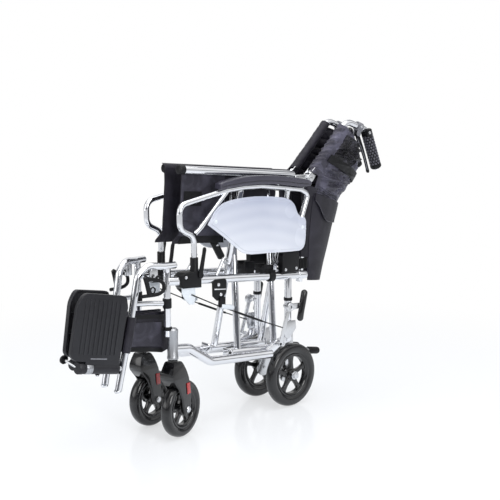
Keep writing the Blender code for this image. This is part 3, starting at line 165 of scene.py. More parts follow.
def makeNylonWeave():
    values, outputs = {"Threads": 1400.0, "Crease": 24.0}, ("Height", "Thread", "Crease")
    group, given, end = newGroup("nylonWeave", values, outputs)
    split = addNode(group, "ShaderNodeSeparateXYZ", Vector=given["Vector"]).outputs
    across, down = [mathNode(group, "SINE", product(group, split[way], given["Threads"])) for way in "XY"]
    basket = product(group, across, down)
    crease = noiseOf(group, given["Vector"], given["Crease"], Detail=4.0, Roughness=0.5, Distortion=0.8)
    return finishGroup(group, end, Height=basket, Thread=ramp(group, basket, -1.0, 1.0), Crease=crease)


mouldGrain, handlingMarks = makeMouldGrain(), makeHandlingMarks()
edgeRub, nylonWeave = makeEdgeRub(), makeNylonWeave()


def newMaterial(name, **values):
    material = bpy.data.materials.new(name)
    material.use_nodes = True
    tree = material.node_tree
    shader = tree.nodes["Principled BSDF"]
    place = tree.nodes.new("ShaderNodeTexCoord")
    for key, value in values.items():
        shader.inputs[key].default_value = value
    return material, tree, shader.inputs, place.outputs


def useGroup(tree, group, vector, **values):
    return addNode(tree, "ShaderNodeGroup", node_tree=group, Vector=vector, **values).outputs


def addBump(tree, height, strength, distance):
    return addNode(tree, "ShaderNodeBump", Strength=strength, Distance=distance,
        Height=height).outputs["Normal"]


def feed(tree, shader, colour, roughness, normal):
    for key, value in (("Base Color", colour), ("Roughness", roughness), ("Normal", normal)):
        tree.links.new(value, shader[key])


def plated(name, colour, roughness, spread):
    # polished or zinc plated metal with handling marks
    material, tree, shader, place = newMaterial(name, Metallic=1.0)
    marks = useGroup(tree, handlingMarks, place["Object"], Scale=60.0, Amount=0.5)["Mask"]
    grain = useGroup(tree, mouldGrain, place["Object"], Scale=240.0, Patches=16.0)
    tone = mixColour(tree, grain["Patch"], colour, tuple(value * 0.94 for value in colour))
    worn = mixColour(tree, marks, tone, tuple(value * 0.74 for value in colour))
    base = scaled(tree, grain["Patch"], spread, roughness)
    rough = mathNode(tree, "ADD", product(tree, marks, spread * 2), base)
    feed(tree, shader, worn, rough, addBump(tree, grain["Height"], 0.02, 0.0004))
    return material


def moulded(name, colour, worn, roughness, grainScale=1500.0, bump=0.16, specular=0.4, coat=0.0):
    # moulded plastic or rubber: fine grain, faint blotches, rubbed edges
    plain = {"Coat Weight": coat, "Coat Roughness": 0.06, "Specular IOR Level": specular}
    material, tree, shader, place = newMaterial(name, **plain)
    grain = useGroup(tree, mouldGrain, place["Object"], Scale=grainScale, Patches=14.0)
    edge = useGroup(tree, edgeRub, place["Object"])["Mask"]
    marks = useGroup(tree, handlingMarks, place["Object"], Scale=60.0, Amount=0.35)["Mask"]
    tone = mixColour(tree, grain["Patch"], colour, tuple(value * 1.25 for value in colour))
    rubbed = mathNode(tree, "MAXIMUM", product(tree, edge, 0.6), product(tree, marks, 0.5))
    feed(tree, shader, mixColour(tree, rubbed, tone, worn),
        scaled(tree, grain["Patch"], 0.1, roughness),
        addBump(tree, grain["Height"], bump, 0.0002))
    return material


def woven(name, colour, high, roughness, threads, crease, depth, sheen):
    # nylon cloth: its weave and creases run in the piece's own UV map, and the crease tops carry a painted
    # highlight
    plain = {"Sheen Weight": sheen, "Sheen Roughness": 0.4, "Specular IOR Level": 0.25}
    material, tree, shader, place = newMaterial(name, **plain)
    weave = useGroup(tree, nylonWeave, place["UV"], Threads=threads, Crease=crease)
    tone = mixColour(tree, weave["Thread"], tuple(value * 0.7 for value in colour), colour)
    # painted highlight: the crease tops are mixed towards the lighter colour
    lift = product(tree, ramp(tree, weave["Crease"], 0.42, 0.7), 0.8)
    rough = scaled(tree, weave["Crease"], -0.2, roughness + 0.1)
    height = mathNode(tree, "ADD", product(tree, weave["Height"], 0.05), weave["Crease"])
    feed(tree, shader, mixColour(tree, lift, tone, high), rough, addBump(tree, height, 0.7, depth))
    return material


def milkyGuard():
    # thin frosted panel that the tubes behind it shine through; its colour carries painted shade towards its
    # top and rear and painted highlights on its rings
    material, tree, shader, place = newMaterial("milkyPanel")
    grain = useGroup(tree, mouldGrain, place["Object"], Scale=700.0, Patches=8.0)
    split = addNode(tree, "ShaderNodeSeparateXYZ", Vector=place["Object"]).outputs
    # painted shade: the colour darkens and turns bluer towards the panel's top and rear
    height = ramp(tree, split["Z"], 0.44, 0.61)
    along = ramp(tree, split["Y"], -0.18, 0.21)
    share = scaled(tree, along, 0.35, product(tree, height, 0.75))
    tone = mixColour(tree, share, (0.86, 0.875, 0.91), (0.47, 0.5, 0.63))
    # painted highlight: lighter rings over the raised rings, plus random mottle from the grain patches
    rings = addNode(tree, "ShaderNodeTexWave", wave_type="RINGS", Scale=9.0, Distortion=1.5,
        Vector=place["Object"]).outputs["Fac"]
    ringHighlightAndMottle = scaled(tree, rings, 0.16, product(tree, grain["Patch"], 0.14))
    tree.links.new(scaled(tree, height, -0.1, 0.9), shader["Alpha"])
    feed(tree, shader,
        mixColour(tree, ringHighlightAndMottle, tone, (0.93, 0.94, 0.97)), scaled(tree, grain["Patch"], 0.1, 0.2),
        addBump(tree, rings, 0.25, 0.0008))
    return material


def redPrism():
    # the ribbed lens of a reflector
    plain = {"Roughness": 0.2, "Coat Weight": 0.8, "Coat Roughness": 0.08}
    material, tree, shader, place = newMaterial("redPrism", **plain)
    cells = addNode(tree, "ShaderNodeTexVoronoi", Scale=480.0, Vector=place["Object"]).outputs["Distance"]
    colour = mixColour(tree, ramp(tree, cells, 0.0, 0.8), (0.72, 0.03, 0.03), (0.26, 0.004, 0.004))
    tree.links.new(colour, shader["Base Color"])
    tree.links.new(addBump(tree, cells, 0.6, 0.0008), shader["Normal"])
    return material


# each finish: its name here, the library slot it stands for, and how it is made
finishes, slotOf = {}, {}
finishTable = (
    ("chrome", "chrome", plated, "chromeTube", (0.8, 0.81, 0.84), 0.07, 0.04),
    ("steel", "steel", plated, "zincSteel", (0.7, 0.71, 0.73), 0.2, 0.08),
    ("satin", "steel", plated, "satinTube", (0.42, 0.43, 0.45), 0.34, 0.08),
    ("black", "black_plastic", moulded, "blackMoulded", (0.0055, 0.0055, 0.0065), (0.028, 0.028, 0.032),
     0.32, 1500.0, 0.16, 0.22),
    # a lighter copy of the black plastic for the footplate: painted light
    ("plateBlack", "black_plastic", moulded, "plateMoulded", (0.014, 0.014, 0.0168), (0.045, 0.045, 0.053),
     0.32, 1500.0, 0.16, 0.3),
    ("wheelBlack", "wheel_black", moulded, "wheelMoulded", (0.0035, 0.0035, 0.0042), (0.016, 0.016, 0.019),
     0.13, 1200.0, 0.04, 0.42, 0.5),
    ("tyre", "tyre_black", moulded, "tyreRubber", (0.0045, 0.0045, 0.0052), (0.02, 0.02, 0.022),
     0.2, 1100.0, 0.06, 0.34, 0.55),
    ("pad", "pad_grey", moulded, "padSkin", (0.04, 0.0375, 0.053), (0.085, 0.081, 0.105),
     0.2, 2200.0, 0.15, 0.5, 0.25),
    # the knurl blocks are the grip's black plastic painted a lighter grey: painted highlight on the knurls
    ("knurl", "black_plastic", moulded, "knurlRubber", (0.075, 0.073, 0.088), (0.16, 0.16, 0.18),
     0.24, 1500.0, 0.1),
    ("castGrey", "lever_grey", moulded, "castGrey", (0.16, 0.16, 0.175), (0.32, 0.32, 0.34),
     0.34, 900.0, 0.1),
    ("leverDark", "lever_grey", moulded, "leverDark", (0.006, 0.006, 0.0075), (0.03, 0.03, 0.034),
     0.3, 900.0, 0.08, 0.15),
    ("paleGrey", "guard_white", moulded, "paleMoulded", (0.66, 0.69, 0.72), (0.78, 0.8, 0.83),
     0.22, 900.0, 0.1),
    ("cable", "cable_black", moulded, "cableSkin", (0.006, 0.006, 0.007), (0.02, 0.02, 0.02),
     0.38, 2600.0, 0.12, 0.2),
    ("guard", "guard_white", milkyGuard),
    ("red", "red_reflector", redPrism),
    # in each cloth finish the second colour is the painted highlight on the crease tops
    ("cloth", "black_cloth", woven, "blackNylon", (0.0165, 0.015, 0.0215), (0.04, 0.037, 0.052),
     0.48, 2600.0, 9.0, 0.0022, 0.07),
    ("quilt", "black_cloth", woven, "greyQuilt", (0.034, 0.032, 0.044), (0.085, 0.081, 0.108),
     0.44, 2200.0, 20.0, 0.0034, 0.14),
    # a lighter copy of the quilt for the near half of the back: painted light
    ("backQuilt", "black_cloth", woven, "backQuilt", (0.048, 0.045, 0.063), (0.15, 0.144, 0.2),
     0.42, 2200.0, 20.0, 0.0034, 0.14),
    ("lining", "black_cloth", woven, "shinyLining", (0.006, 0.0058, 0.0075), (0.05, 0.047, 0.062),
     0.2, 1900.0, 30.0, 0.004, 0.05),
    ("webbing", "black_cloth", woven, "blackWebbing", (0.0045, 0.0045, 0.0055), (0.012, 0.0115, 0.014),
     0.5, 1500.0, 20.0, 0.001, 0.02))
for key, slot, make, *look in finishTable:
    finishes[key], slotOf[key] = make(*look), slot
print("finishes made")

# the bench: how a piece is started, shaped and finished


def only(piece):
    if bpy.context.object and bpy.context.object.mode != "OBJECT":
        bpy.ops.object.mode_set(mode="OBJECT")
    for item in bpy.context.selected_objects:
        item.select_set(False)
    piece.select_set(True)
    bpy.context.view_layer.objects.active = piece
    return piece


def applyAll(piece):
    only(piece)
    for modifier in list(piece.modifiers):
        bpy.ops.object.modifier_apply(modifier=modifier.name)
    bpy.ops.object.transform_apply(location=True, rotation=True, scale=True)
    return piece


def edited(piece, *steps):
    # runs edit-mode operators on the whole of one mesh
    only(piece)
    bpy.ops.object.mode_set(mode="EDIT")
    bpy.ops.mesh.select_all(action="SELECT")
    for step in steps:
        step()
    bpy.ops.object.mode_set(mode="OBJECT")
    return piece


def selectAll():
    bpy.ops.mesh.select_all(action="SELECT")


def faceOut():
    bpy.ops.mesh.normals_make_consistent(inside=False)


def merged(distance):
    return lambda: bpy.ops.mesh.remove_doubles(threshold=distance)


def pulled(depth):
    return lambda: bpy.ops.mesh.extrude_region_move(TRANSFORM_OT_translate={"value": (depth, 0, 0)})


def letIn(rim):
    return lambda: bpy.ops.mesh.inset(thickness=rim, depth=0.0)


def rounded(piece, width, segments=3, angle=32):
    bevel = piece.modifiers.new("edge", "BEVEL")
    bevel.width = width
    bevel.segments = segments
    bevel.limit_method = "ANGLE"
    bevel.angle_limit = radians(angle)
    bevel.use_clamp_overlap = True
    return applyAll(piece)


def joined(name, pieces):
    only(pieces[0])
    for piece in pieces:
        piece.select_set(True)
    if len(pieces) > 1:
        bpy.ops.object.join()
    pieces[0].name = name
    return pieces[0]


def copied(piece):
    only(piece)
    bpy.ops.object.duplicate()
    return bpy.context.object


def dress(piece, finish, body, nodes=(), sharp=38):
    only(piece)
    piece.data.materials.clear()
    piece.data.materials.append(finishes[finish])
    bpy.ops.object.shade_smooth_by_angle(angle=radians(sharp))
    if nodes:
        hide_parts(*nodes)
    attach(piece, body)
    return piece


def tubePiece(corners, radius, bend=0.03, sides=24, steps=8):
    # a bent tube: a curve with rounded corners, swept round and made a mesh
    corners = [Vector(corner) for corner in corners]
    route = [corners[0]]
    for before, here, after in zip(corners, corners[1:], corners[2:]):
        come, go = (before - here), (after - here)
        half = come.angle(go) / 2
        reach = min(bend / max(tan(half), 0.001), come.length * 0.48, go.length * 0.48)
        first, last = here + come.normalized() * reach, here + go.normalized() * reach
        for step in range(steps + 1):
            share = step / steps
            route.append(fold(fold(first, here, share), fold(here, last, share), share))
    route.append(corners[-1])
    curve = bpy.data.curves.new("tube", "CURVE")
    curve.dimensions = "3D"
    curve.bevel_depth = radius
    curve.bevel_resolution = max(1, sides // 4 - 1)
    curve.use_fill_caps = True
    spline = curve.splines.new("POLY")
    spline.points.add(len(route) - 1)
    for point, place in zip(spline.points, route):
        point.co = (*place, 1)
    piece = bpy.data.objects.new("tube", curve)
    bpy.context.scene.collection.objects.link(piece)
    only(piece)
    bpy.ops.object.convert(target="MESH")
    return edited(bpy.context.object, merged(0.00001), faceOut)


def rodPiece(start, end, radius, sides=32, edge=0.0):
    start, end = Vector(start), Vector(end)
    middle, run = (start + end) / 2, end - start
    bpy.ops.mesh.primitive_cylinder_add(vertices=sides, radius=radius, depth=run.length,
        location=middle,
        rotation=run.to_track_quat("Z", "Y").to_euler())
    piece = bpy.context.object
    return rounded(piece, edge, 3, 50) if edge else applyAll(piece)


def drawnFace(outline, x):
    # an outline of (y, z) pairs drawn on a disc of as many corners
    bpy.ops.mesh.primitive_circle_add(vertices=len(outline), fill_type="NGON", radius=0.1)
    piece = bpy.context.object
    for vertex, (y, z) in zip(piece.data.vertices, outline):
        vertex.co = at(x, y, z)
    return piece


def platePiece(outline, low, high, edge=0.001, segments=2):
    # a drawn outline pulled out along X
    piece = edited(drawnFace(outline, low), pulled(high - low), selectAll, faceOut)
    return rounded(piece, edge, segments, 25) if edge else applyAll(piece)


def sideOf(points):
    return [(point.y, point.z) for point in points]


def boxPiece(low, high, edge=0.001, segments=2):
    low, high = Vector(low), Vector(high)
    bpy.ops.mesh.primitive_cube_add(size=1.0, location=(low + high) / 2, scale=(high - low))
    return rounded(applyAll(bpy.context.object), edge, segments) if edge else applyAll(bpy.context.object)


def turnedPiece(profile, centre, axis, steps=72):
    # (radius, height) pairs spun about the axis
    mesh = bpy.data.meshes.new("turned")
    mesh.from_pydata([(radius, 0, height) for radius, height in profile],
        [(index, index + 1) for index in range(len(profile) - 1)], [])
    piece = bpy.data.objects.new("turned", mesh)
    bpy.context.scene.collection.objects.link(piece)
    edited(piece,
        lambda: bpy.ops.mesh.spin(steps=steps, angle=2 * pi, center=(0, 0, 0), axis=(0, 0, 1)),
        selectAll, merged(0.00002), faceOut)
    turn = Vector(axis).to_track_quat("Z", "Y").to_matrix().to_4x4()
    piece.matrix_world = Matrix.Translation(centre) @ turn
    return applyAll(piece)


def cadCopy(name, edge=0.0, segments=2):
    # a merged copy of one CAD node, its flat facets joined up
    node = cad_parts[name]
    piece = bpy.data.objects.new(name + "_finish", node.data.copy())
    bpy.context.scene.collection.objects.link(piece)
    only(piece)
    if piece.data.has_custom_normals:
        bpy.ops.mesh.customdata_custom_splitnormals_clear()
    edited(piece, merged(0.00001), lambda: bpy.ops.mesh.dissolve_limited(angle_limit=radians(0.6)))
    return rounded(piece, edge, segments, 40) if edge else piece


sideName = {1: "left", -1: "right"}


def railZ(height, y):
    return height - y * tan(chairSet["railSlope"])


def onRail(x, y, height):
    return at(x, y, railZ(height, y))


def onUpper(x, y):
    return onRail(x, y, chairSet["upperRail"])


def twinOf(piece, name, move=None):
    # the right side's copy of a left piece, with its own mesh turned the right way out
    twin = copied(piece)
    twin.name = name
    twin.scale.x = -1
    applyAll(twin)
    if move is not None:
        twin.matrix_world = move
        applyAll(twin)
    return edited(twin, faceOut)


def pair(label, piece, finish, body, node, own=None, swing=None, sharp=38):
    # a piece, or a list joined up, and its twin on the other side, each in place of its CAD node
    if isinstance(piece, list):
        piece = joined(label, piece)
    twin = twinOf(piece, label + "_right", swing)
    if own is not None:
        piece.matrix_world = own
        applyAll(piece)
    piece.name = label + "_left"
    dress(piece, finish, body + "_left", [node + "_left"], sharp)
    dress(twin, finish, body + "_right", [node + "_right"], sharp)


# the welded side frames, tube by tube

onFrame = partial(pair, body="frame", node="side_frame")

railSet = {"x": 0.062, "radius": 0.011, "front": -0.346, "rear": 0.124, "plug": 0.0325}
postSet = {"x": 0.06, "y": -0.344, "radius": 0.0088, "low": 0.273, "top": 0.438, "collar": 0.0114}
casterSet = {"x": 0.064, "y": -0.331, "radius": 0.075, "trail": 0.033, "turnLeft": radians(15.5),
             "turnRight": radians(8.0)}
lowerSet = {"x": 0.062, "height": 0.1652, "radius": 0.0125, "knee": -0.278, "bend": -0.203, "end": 0.018}
rearSet = {"x": 0.065, "y": 0.097, "radius": 0.09, "postY": 0.088, "postLow": 0.19, "postRadius": 0.01}


def postAt(z):
    return at(postSet["x"], postSet["y"], z)


def axleAt(x):
    return at(x, rearSet["y"], rearSet["radius"])


s = railSet
onFrame("upper_rail",
    rodPiece(onUpper(s["x"], s["front"]), onUpper(s["x"], s["rear"]), s["radius"], 48, 0.0008),
    "chrome")
onFrame("rail_plug",
    rodPiece(
        onUpper(s["x"], s["rear"] - 0.001), onUpper(s["x"], s["rear"] + s["plug"]),
        s["radius"] + 0.0008, 48, 0.0025), "chrome")

onFrame("front_post",
    rodPiece(postAt(postSet["low"]), postAt(postSet["top"]), postSet["radius"], 40, 0.0008), "chrome")
wide = postSet["collar"]
collars = [
    turnedPiece([(0.0002, low), (wide - 0.001, low), (wide, low + 0.0012), (wide, high - 0.0012),
        (wide - 0.001, high), (0.0002, high)], postAt(0), (0, 0, 1), 48)
    for low, high in ((0.346, 0.371), (0.289, 0.298))]
onFrame("post_collar", collars, "black")
onFrame("stem_housing",
    turnedPiece([(0.0066, 0.2125), (0.0135, 0.2125), (0.0145, 0.2137), (0.0145, 0.22), (0.0138, 0.221),
        (0.0138, 0.28), (0.0145, 0.2812), (0.0145, 0.2885), (0.0105, 0.293), (0.0002, 0.293)],
        at(casterSet["x"], casterSet["y"], 0), (0, 0, 1), 56), "satin")

s = lowerSet
bendZ = railZ(s["height"], s["bend"])
onFrame("lower_tube",
    tubePiece([
        at(casterSet["x"], casterSet["y"], bendZ + 0.055), at(s["x"], s["knee"], bendZ + 0.0485),
        at(s["x"], s["bend"], bendZ), onRail(s["x"], s["end"], s["height"])], s["radius"], 0.04, 40,
        12), "chrome")
onFrame("lower_plug",
    rodPiece(
        onRail(s["x"], s["end"] - 0.006, s["height"]),
        onRail(s["x"], s["end"] + 0.0025, s["height"]), 0.0122, 40, 0.0012), "black")
s = rearSet
onFrame("rear_post",
    rodPiece(
        at(railSet["x"], s["postY"], s["postLow"]), onUpper(railSet["x"], s["postY"]), s["postRadius"],
        40, 0.0008), "chrome")
onFrame("post_ring",
    turnedPiece([(0.0102, 0.305), (0.0114, 0.305), (0.012, 0.3058), (0.012, 0.3132), (0.0114, 0.314),
        (0.0102, 0.314)], at(railSet["x"], s["postY"], 0), (0, 0, 1), 40), "black")
onFrame("gusset",
    platePiece([(0.004, 0.157), (0.02, 0.156), (0.035, 0.164), (0.05, 0.1745), (0.064, 0.1805),
        (0.098, 0.1865), (0.098, 0.208), (0.062, 0.207), (0.004, 0.18)], 0.0585, 0.0655, 0.0012, 3),
    "chrome")


def arcPoints(y, z, radius, start, end, steps):
    return [
        (
            y + radius * cos(radians(fold(start, end, step / steps))),
            z + radius * sin(radians(fold(start, end, step / steps))))
        for step in range(steps + 1)]


axleOutline = [(0.0905, 0.206), (0.124, 0.206), (0.126, 0.15), (0.122, 0.09)]
axleOutline += arcPoints(s["y"], s["radius"], 0.025, 0, -180, 20)[1:-1] + [(0.072, 0.09), (0.0905, 0.145)]
onFrame("axle_plate",
    [
        platePiece(axleOutline, 0.042, 0.047, 0.0008, 2),
        boxPiece(at(0.043, 0.092, 0.188), at(0.066, 0.104, 0.205), 0.0012)], "steel")
onFrame("rear_axle",
    [
        rodPiece(axleAt(low), axleAt(high), wide, sides, edge)
        for low, high, wide, sides, edge in (
            (0.042, 0.0845, 0.006, 32, 0.0008), (0.046, 0.0489, 0.01, 32, 0.0004),
            (0.0811, 0.089, 0.0098, 6, 0.001), (0.0811, 0.0822, 0.0118, 40, 0.0003))], "steel",
    sharp=30)
onFrame("tip_tube",
    tubePiece([at(0.0405, 0.108, 0.152), at(0.0405, 0.15, 0.147), at(0.0405, 0.218, 0.1345)], 0.0075,
        0.05, 32, 10), "satin")

caneFoot, backHinge = Vector((0.038, 0.157, 0.347)), Vector((0.038, 0.19, 0.64))
caneLean = (backHinge - caneFoot).normalized()


def moved(point):
    return at(point.x, point.y, point.z)


onFrame("lower_cane",
    rodPiece(moved(caneFoot), moved(backHinge - caneLean * 0.0145), 0.0095, 40, 0.0008), "chrome")
across = caneLean.cross(axisX) * 0.0085
neckCorners = [backHinge + across, backHinge - across, backHinge - caneLean * 0.035 - across,
               backHinge - caneLean * 0.035 + across]
onFrame("back_hinge_body",
    [
        platePiece(sideOf(neckCorners), 0.0306, 0.0454, 0.0014, 3),
        rodPiece(
            moved(backHinge - axisX * 0.008), moved(backHinge + axisX * 0.008), 0.0115, 40, 0.0008),
        platePiece([(0.132, 0.64), (0.15, 0.632), (0.186, 0.632), (0.186, 0.643), (0.172, 0.652),
            (0.134, 0.652)], 0.0314, 0.0446, 0.0016, 3)], "steel")
onFrame("cane_stay",
    rodPiece(onUpper(railSet["x"], 0.137), moved(caneFoot + caneLean * 0.024), 0.007, 32, 0.0006),
    "steel")

onFrame("stay_plate",
    platePiece([(-0.204, 0.394), (-0.2, 0.3995), (-0.196, 0.402), (-0.16, 0.4), (-0.1555, 0.396),
        (-0.154, 0.388), (-0.156, 0.362), (-0.168, 0.347), (-0.188, 0.344), (-0.203, 0.358)], 0.0705,
        0.0745, 0.001, 3), "black")
stayBits = [
    rodPiece(at(0.0735, y, z), at(0.0764, y, z), 0.0046, 32, 0.0008)
    for y, z in ((-0.184, 0.387), (-0.176, 0.36))]
stayBits.append(
    platePiece([(-0.198, 0.3745), (-0.158, 0.3705), (-0.158, 0.3735), (-0.198, 0.3775)], 0.0742, 0.0751,
        0.0003, 1))
stayBits.append(
    tubePiece([at(0.066, -0.183, 0.396), at(0.058, -0.176, 0.408), at(0.055, -0.148, 0.45)], 0.0042,
        0.02, 24, 8))
onFrame("stay_pins", stayBits, "chrome")
onFrame("cable_clamp", boxPiece(at(0.0705, -0.182, 0.326), at(0.0785, -0.162, 0.352), 0.0012, 2), "black")
barrelStart, barrelEnd = at(0.0745, -0.176, 0.3286), at(0.0745, -0.13, 0.3185)
onFrame("cable_barrel",
    turnedPiece([(0.0019, 0), (0.0058, 0), (0.007, 0.0014), (0.007, 0.015), (0.006, 0.016),
        (0.006, 0.0185), (0.007, 0.0195), (0.007, 0.0395), (0.006, 0.041), (0.0045, 0.0455),
        (0.0019, 0.047)], barrelStart, barrelEnd - barrelStart, 40), "paleGrey")

brakeSheet = platePiece([(0.06, 0.252), (0.104, 0.248), (0.106, 0.226), (0.088, 0.206), (0.074, 0.198),
    (0.062, 0.206), (0.058, 0.226)], 0.074, 0.077, 0.0008, 2)
brakeBits = [brakeSheet]
brakeBits += [rodPiece(at(0.062, 0.088, z), at(0.0755, 0.088, z), 0.006, 24, 0.0004) for z in (0.224, 0.243)]
brakeBits.append(rodPiece(at(0.062, 0.074, 0.291), at(0.086, 0.074, 0.291), 0.0045, 32, 0.0006))
brakeBits.append(rodPiece(at(0.062, 0.088, 0.291), at(0.062, 0.074, 0.291), 0.0055, 24, 0.0004))
onFrame("brake_mount", brakeBits, "steel")

railUp = Vector((0, sin(chairSet["railSlope"]), cos(chairSet["railSlope"])))
railAlong = Vector((0, cos(chairSet["railSlope"]), -sin(chairSet["railSlope"])))
for label, lugY, towards, outerX in (("front", -0.1236, 1, 0.062), ("rear", 0.0896, -1, 0.0445)):
    centre = Vector((0.0375, lugY, railZ(0.176, lugY)))
    root = centre - railUp * 0.0108
    wall = railAlong * 0.003
    lugCorners = [root - wall, root + wall, centre + wall + railUp * 0.012, centre - wall + railUp * 0.012]
    lug = joined("lug",
        [
            platePiece(sideOf(lugCorners), 0.0265, outerX, 0.001, 2),
            rodPiece(moved(centre), moved(centre + railAlong * towards * 0.017), 0.006, 28, 0.0005)])
    onFrame("pivot_lug_" + label, lug, "chrome")
print("side frames made")

# fittings clamped to the frame


def boltHead(centre, axis, radius, height, sides=6):
    centre, axis = Vector(centre), Vector(axis).normalized()
    parts = [
        rodPiece(centre, centre + axis * height, radius, sides, radius * 0.12),
        rodPiece(centre, centre + axis * height * 0.25, radius * 1.25, 32, radius * 0.05)]
    return joined("bolt", parts)


for name in ("rail_cradle", "armrest_hinge", "armrest_socket", "cane_clamp"):
    for side in ("_left", "_right"):
        fitting = cadCopy(name + side, 0.0009, 3)
        dress(fitting, "black", "frame" + side, [name + side], 34)
        if name == "armrest_socket":
            # the cable anchor below the socket is moulded in a pale plastic
            fitting.data.materials.append(finishes["paleGrey"])
            for face in fitting.data.polygons:
                if abs(face.center.x) > 0.0709 and face.center.z < 0.394:
                    face.material_index = 1

socketBolts = [
    boltHead(at(0.077, -0.295, 0.42), (1, 0, 0), 0.0035, 0.0025),
    boltHead(at(0.0745, 0.066, 0.396), (1, 0, 0), 0.0035, 0.0022),
    boltHead(at(0.0745, 0.108, 0.396), (1, 0, 0), 0.0035, 0.0022)]
pair("fitting_bolts", socketBolts, "steel", "frame", "armrest_socket", sharp=30)

capAlong = Vector((0, 0.068, -0.0125)).normalized()
capStart = Vector((0.0405, 0.218, 0.1345)) - capAlong * 0.026
pair("tip_cap_shell",
    turnedPiece([(0.0078, 0), (0.0098, 0), (0.0105, 0.0012), (0.0105, 0.038), (0.0094, 0.0425),
        (0.0062, 0.044), (0.0002, 0.044)], moved(capStart), capAlong, 48), "black", "frame", "tip_cap")
cableRun = [(-0.276, 0.373), (-0.186, 0.3312), (-0.13, 0.3085), (-0.0256, 0.265), (0.0572, 0.233)]
pair("cable_run",
    tubePiece([at(0.0745, y, z) for y, z in cableRun], 0.0016, 0.05, 16, 8), "cable", "frame",
    "brake_cable")
pair("cable_sleeve",
    tubePiece([at(0.0745, y, z) for y, z in ((-0.124, 0.306), (-0.08, 0.2877), (-0.0256, 0.265))],
        0.003, 0.04, 24, 10), "cable", "frame", "brake_cable")
pair("shoe_eye",
    turnedPiece([(0.0036, 0), (0.0086, 0), (0.009, 0.0012), (0.0086, 0.0026), (0.0036, 0.0026),
        (0.0036, 0)], at(0.0765, 0.0527, 0.19), (1, 0, 0), 40), "steel", "frame", "brake_cable",
    sharp=30)
print("fittings made")

# wheels, turned at a bench and copied to their places


def mirrored(half):
    # the left half of a section, then the same half turned over
    return half + [(across, -along) for across, along in half[-2::-1]] + [half[0]]


def tyrePiece(radius, rimRadius):
    half = [
        (rimRadius + up, out)
        for up, out in ((0, 0.0105), (0.0015, 0.0112), (0.003, 0.012), (0.0055, 0.0134),
            (0.0085, 0.014))]
    half += [
        (radius - down, out)
        for down, out in ((0.0075, 0.014), (0.0068, 0.0136), (0.006, 0.0136), (0.004, 0.0122),
            (0.0022, 0.01), (0.0008, 0.0068), (0.0001, 0.0034), (0, 0.0))]
    return turnedPiece(mirrored(half), (0, 0, 0), (1, 0, 0), 128)


def rimPiece(outer, bore):
    # a lipped ring, five flared spokes and a stepped hub
    half = [
        (outer - down, out)
        for down, out in ((0, 0.0104), (0.0008, 0.0116), (0.0026, 0.012), (0.0046, 0.0114),
            (0.0058, 0.0094), (0.0078, 0.0078), (0.01, 0.0068), (0.01, 0.0))]
    hub = [(bore, 0.0), (bore, 0.015), (0.01, 0.0155), (0.0125, 0.0155), (0.0135, 0.0146), (0.014, 0.011),
           (0.0165, 0.0085), (0.0165, 0.0)]
    parts = [
        turnedPiece(mirrored(line), (0, 0, 0), (1, 0, 0), steps)
        for line, steps in ((half, 128), (hub, 64))]
    foot, waist, head = 0.0125, (0.0165 + outer - 0.01) / 2, outer - 0.0085
    shape = [(-0.0105, foot), (0.0105, foot), (0.007, foot + 0.0075), (0.0052, waist),
             (0.0066, head - 0.006), (0.011, head), (-0.011, head), (-0.0066, head - 0.006),
             (-0.0052, waist), (-0.007, foot + 0.0075)]
    spoke = platePiece([(y - chairSet["shift"], z) for y, z in shape], -0.0055, 0.0055, 0.0019, 4)
    spokes = [spoke]
    for index in range(1, 5):
        copy = copied(spoke)
        copy.rotation_euler = (2 * pi * index / 5, 0, 0)
        spokes.append(applyAll(copy))
    return joined("rim", parts + spokes)


def wheelPair(label, kind, radius, rimRadius, places, bore):
    for part, piece, finish in (("tyre", tyrePiece(radius, rimRadius), "tyre"),
                                ("rim", rimPiece(rimRadius - 0.0003, bore), "wheelBlack")):
        twin = twinOf(piece, kind + "_" + part + "_shape_right", places[1])
        piece.matrix_world = places[0]
        applyAll(piece)
        piece.name = kind + "_" + part + "_shape_left"
        dress(piece, finish, label + "_left", [kind + "_" + part + "_left"], 30)
        dress(twin, finish, label + "_right", [kind + "_" + part + "_right"], 30)


wheelPair("rear_wheel", "rear", rearSet["radius"], 0.063,
    [Matrix.Translation(axleAt(x)) for x in (rearSet["x"], -rearSet["x"])], 0.00625)
stands = [
    Matrix.Translation(at(side * casterSet["x"], casterSet["y"], 0)) @ Matrix.Rotation(turn, 4, "Z")
    for side, turn in ((1, casterSet["turnLeft"]), (-1, casterSet["turnRight"]))]
hubs = [stand @ Matrix.Translation((0, casterSet["trail"], casterSet["radius"])) for stand in stands]
wheelPair("caster_wheel", "caster", casterSet["radius"], 0.053, hubs, 0.00425)

for side, hub in zip(("_left", "_right"), hubs):
    dress(cadCopy("caster_fork" + side, 0.0016, 4), "wheelBlack", "caster" + side, ["caster_fork" + side], 30)
    dress(
        cadCopy("caster_reflector" + side, 0.0008, 3), "red", "caster" + side,
        ["caster_reflector" + side], 30)
    # the fork's inner arm has a reflector too: the outer one mirrored in the wheel's middle plane
    inner = cadCopy("caster_reflector" + side, 0.0008, 3)
    inner.data.transform(hub @ Matrix.Diagonal((-1, 1, 1, 1)) @ hub.inverted())
    inner.data.flip_normals()
    inner.name = "inner_reflector" + side
    dress(inner, "red", "caster" + side, ["caster_reflector" + side], 30)
spin = (0, casterSet["trail"], casterSet["radius"])
pair("caster_axle_shape",
    [
        rodPiece((-0.025, *spin[1:]), (0.025, *spin[1:]), 0.004, 32, 0.0005),
        turnedPiece([(0.0002, 0.0233), (0.0083, 0.0233), (0.0085, 0.0238), (0.0085, 0.0252),
            (0.0078, 0.0264), (0.005, 0.0285), (0.002, 0.0288), (0.0002, 0.0282)], spin, (1, 0, 0), 48),
        rodPiece((-0.0285, *spin[1:]), (-0.0233, *spin[1:]), 0.0085, 6, 0.0009)], "steel", "caster",
    "caster_axle", own=stands[0], swing=stands[1], sharp=30)
print("wheels turned")

# cross brace

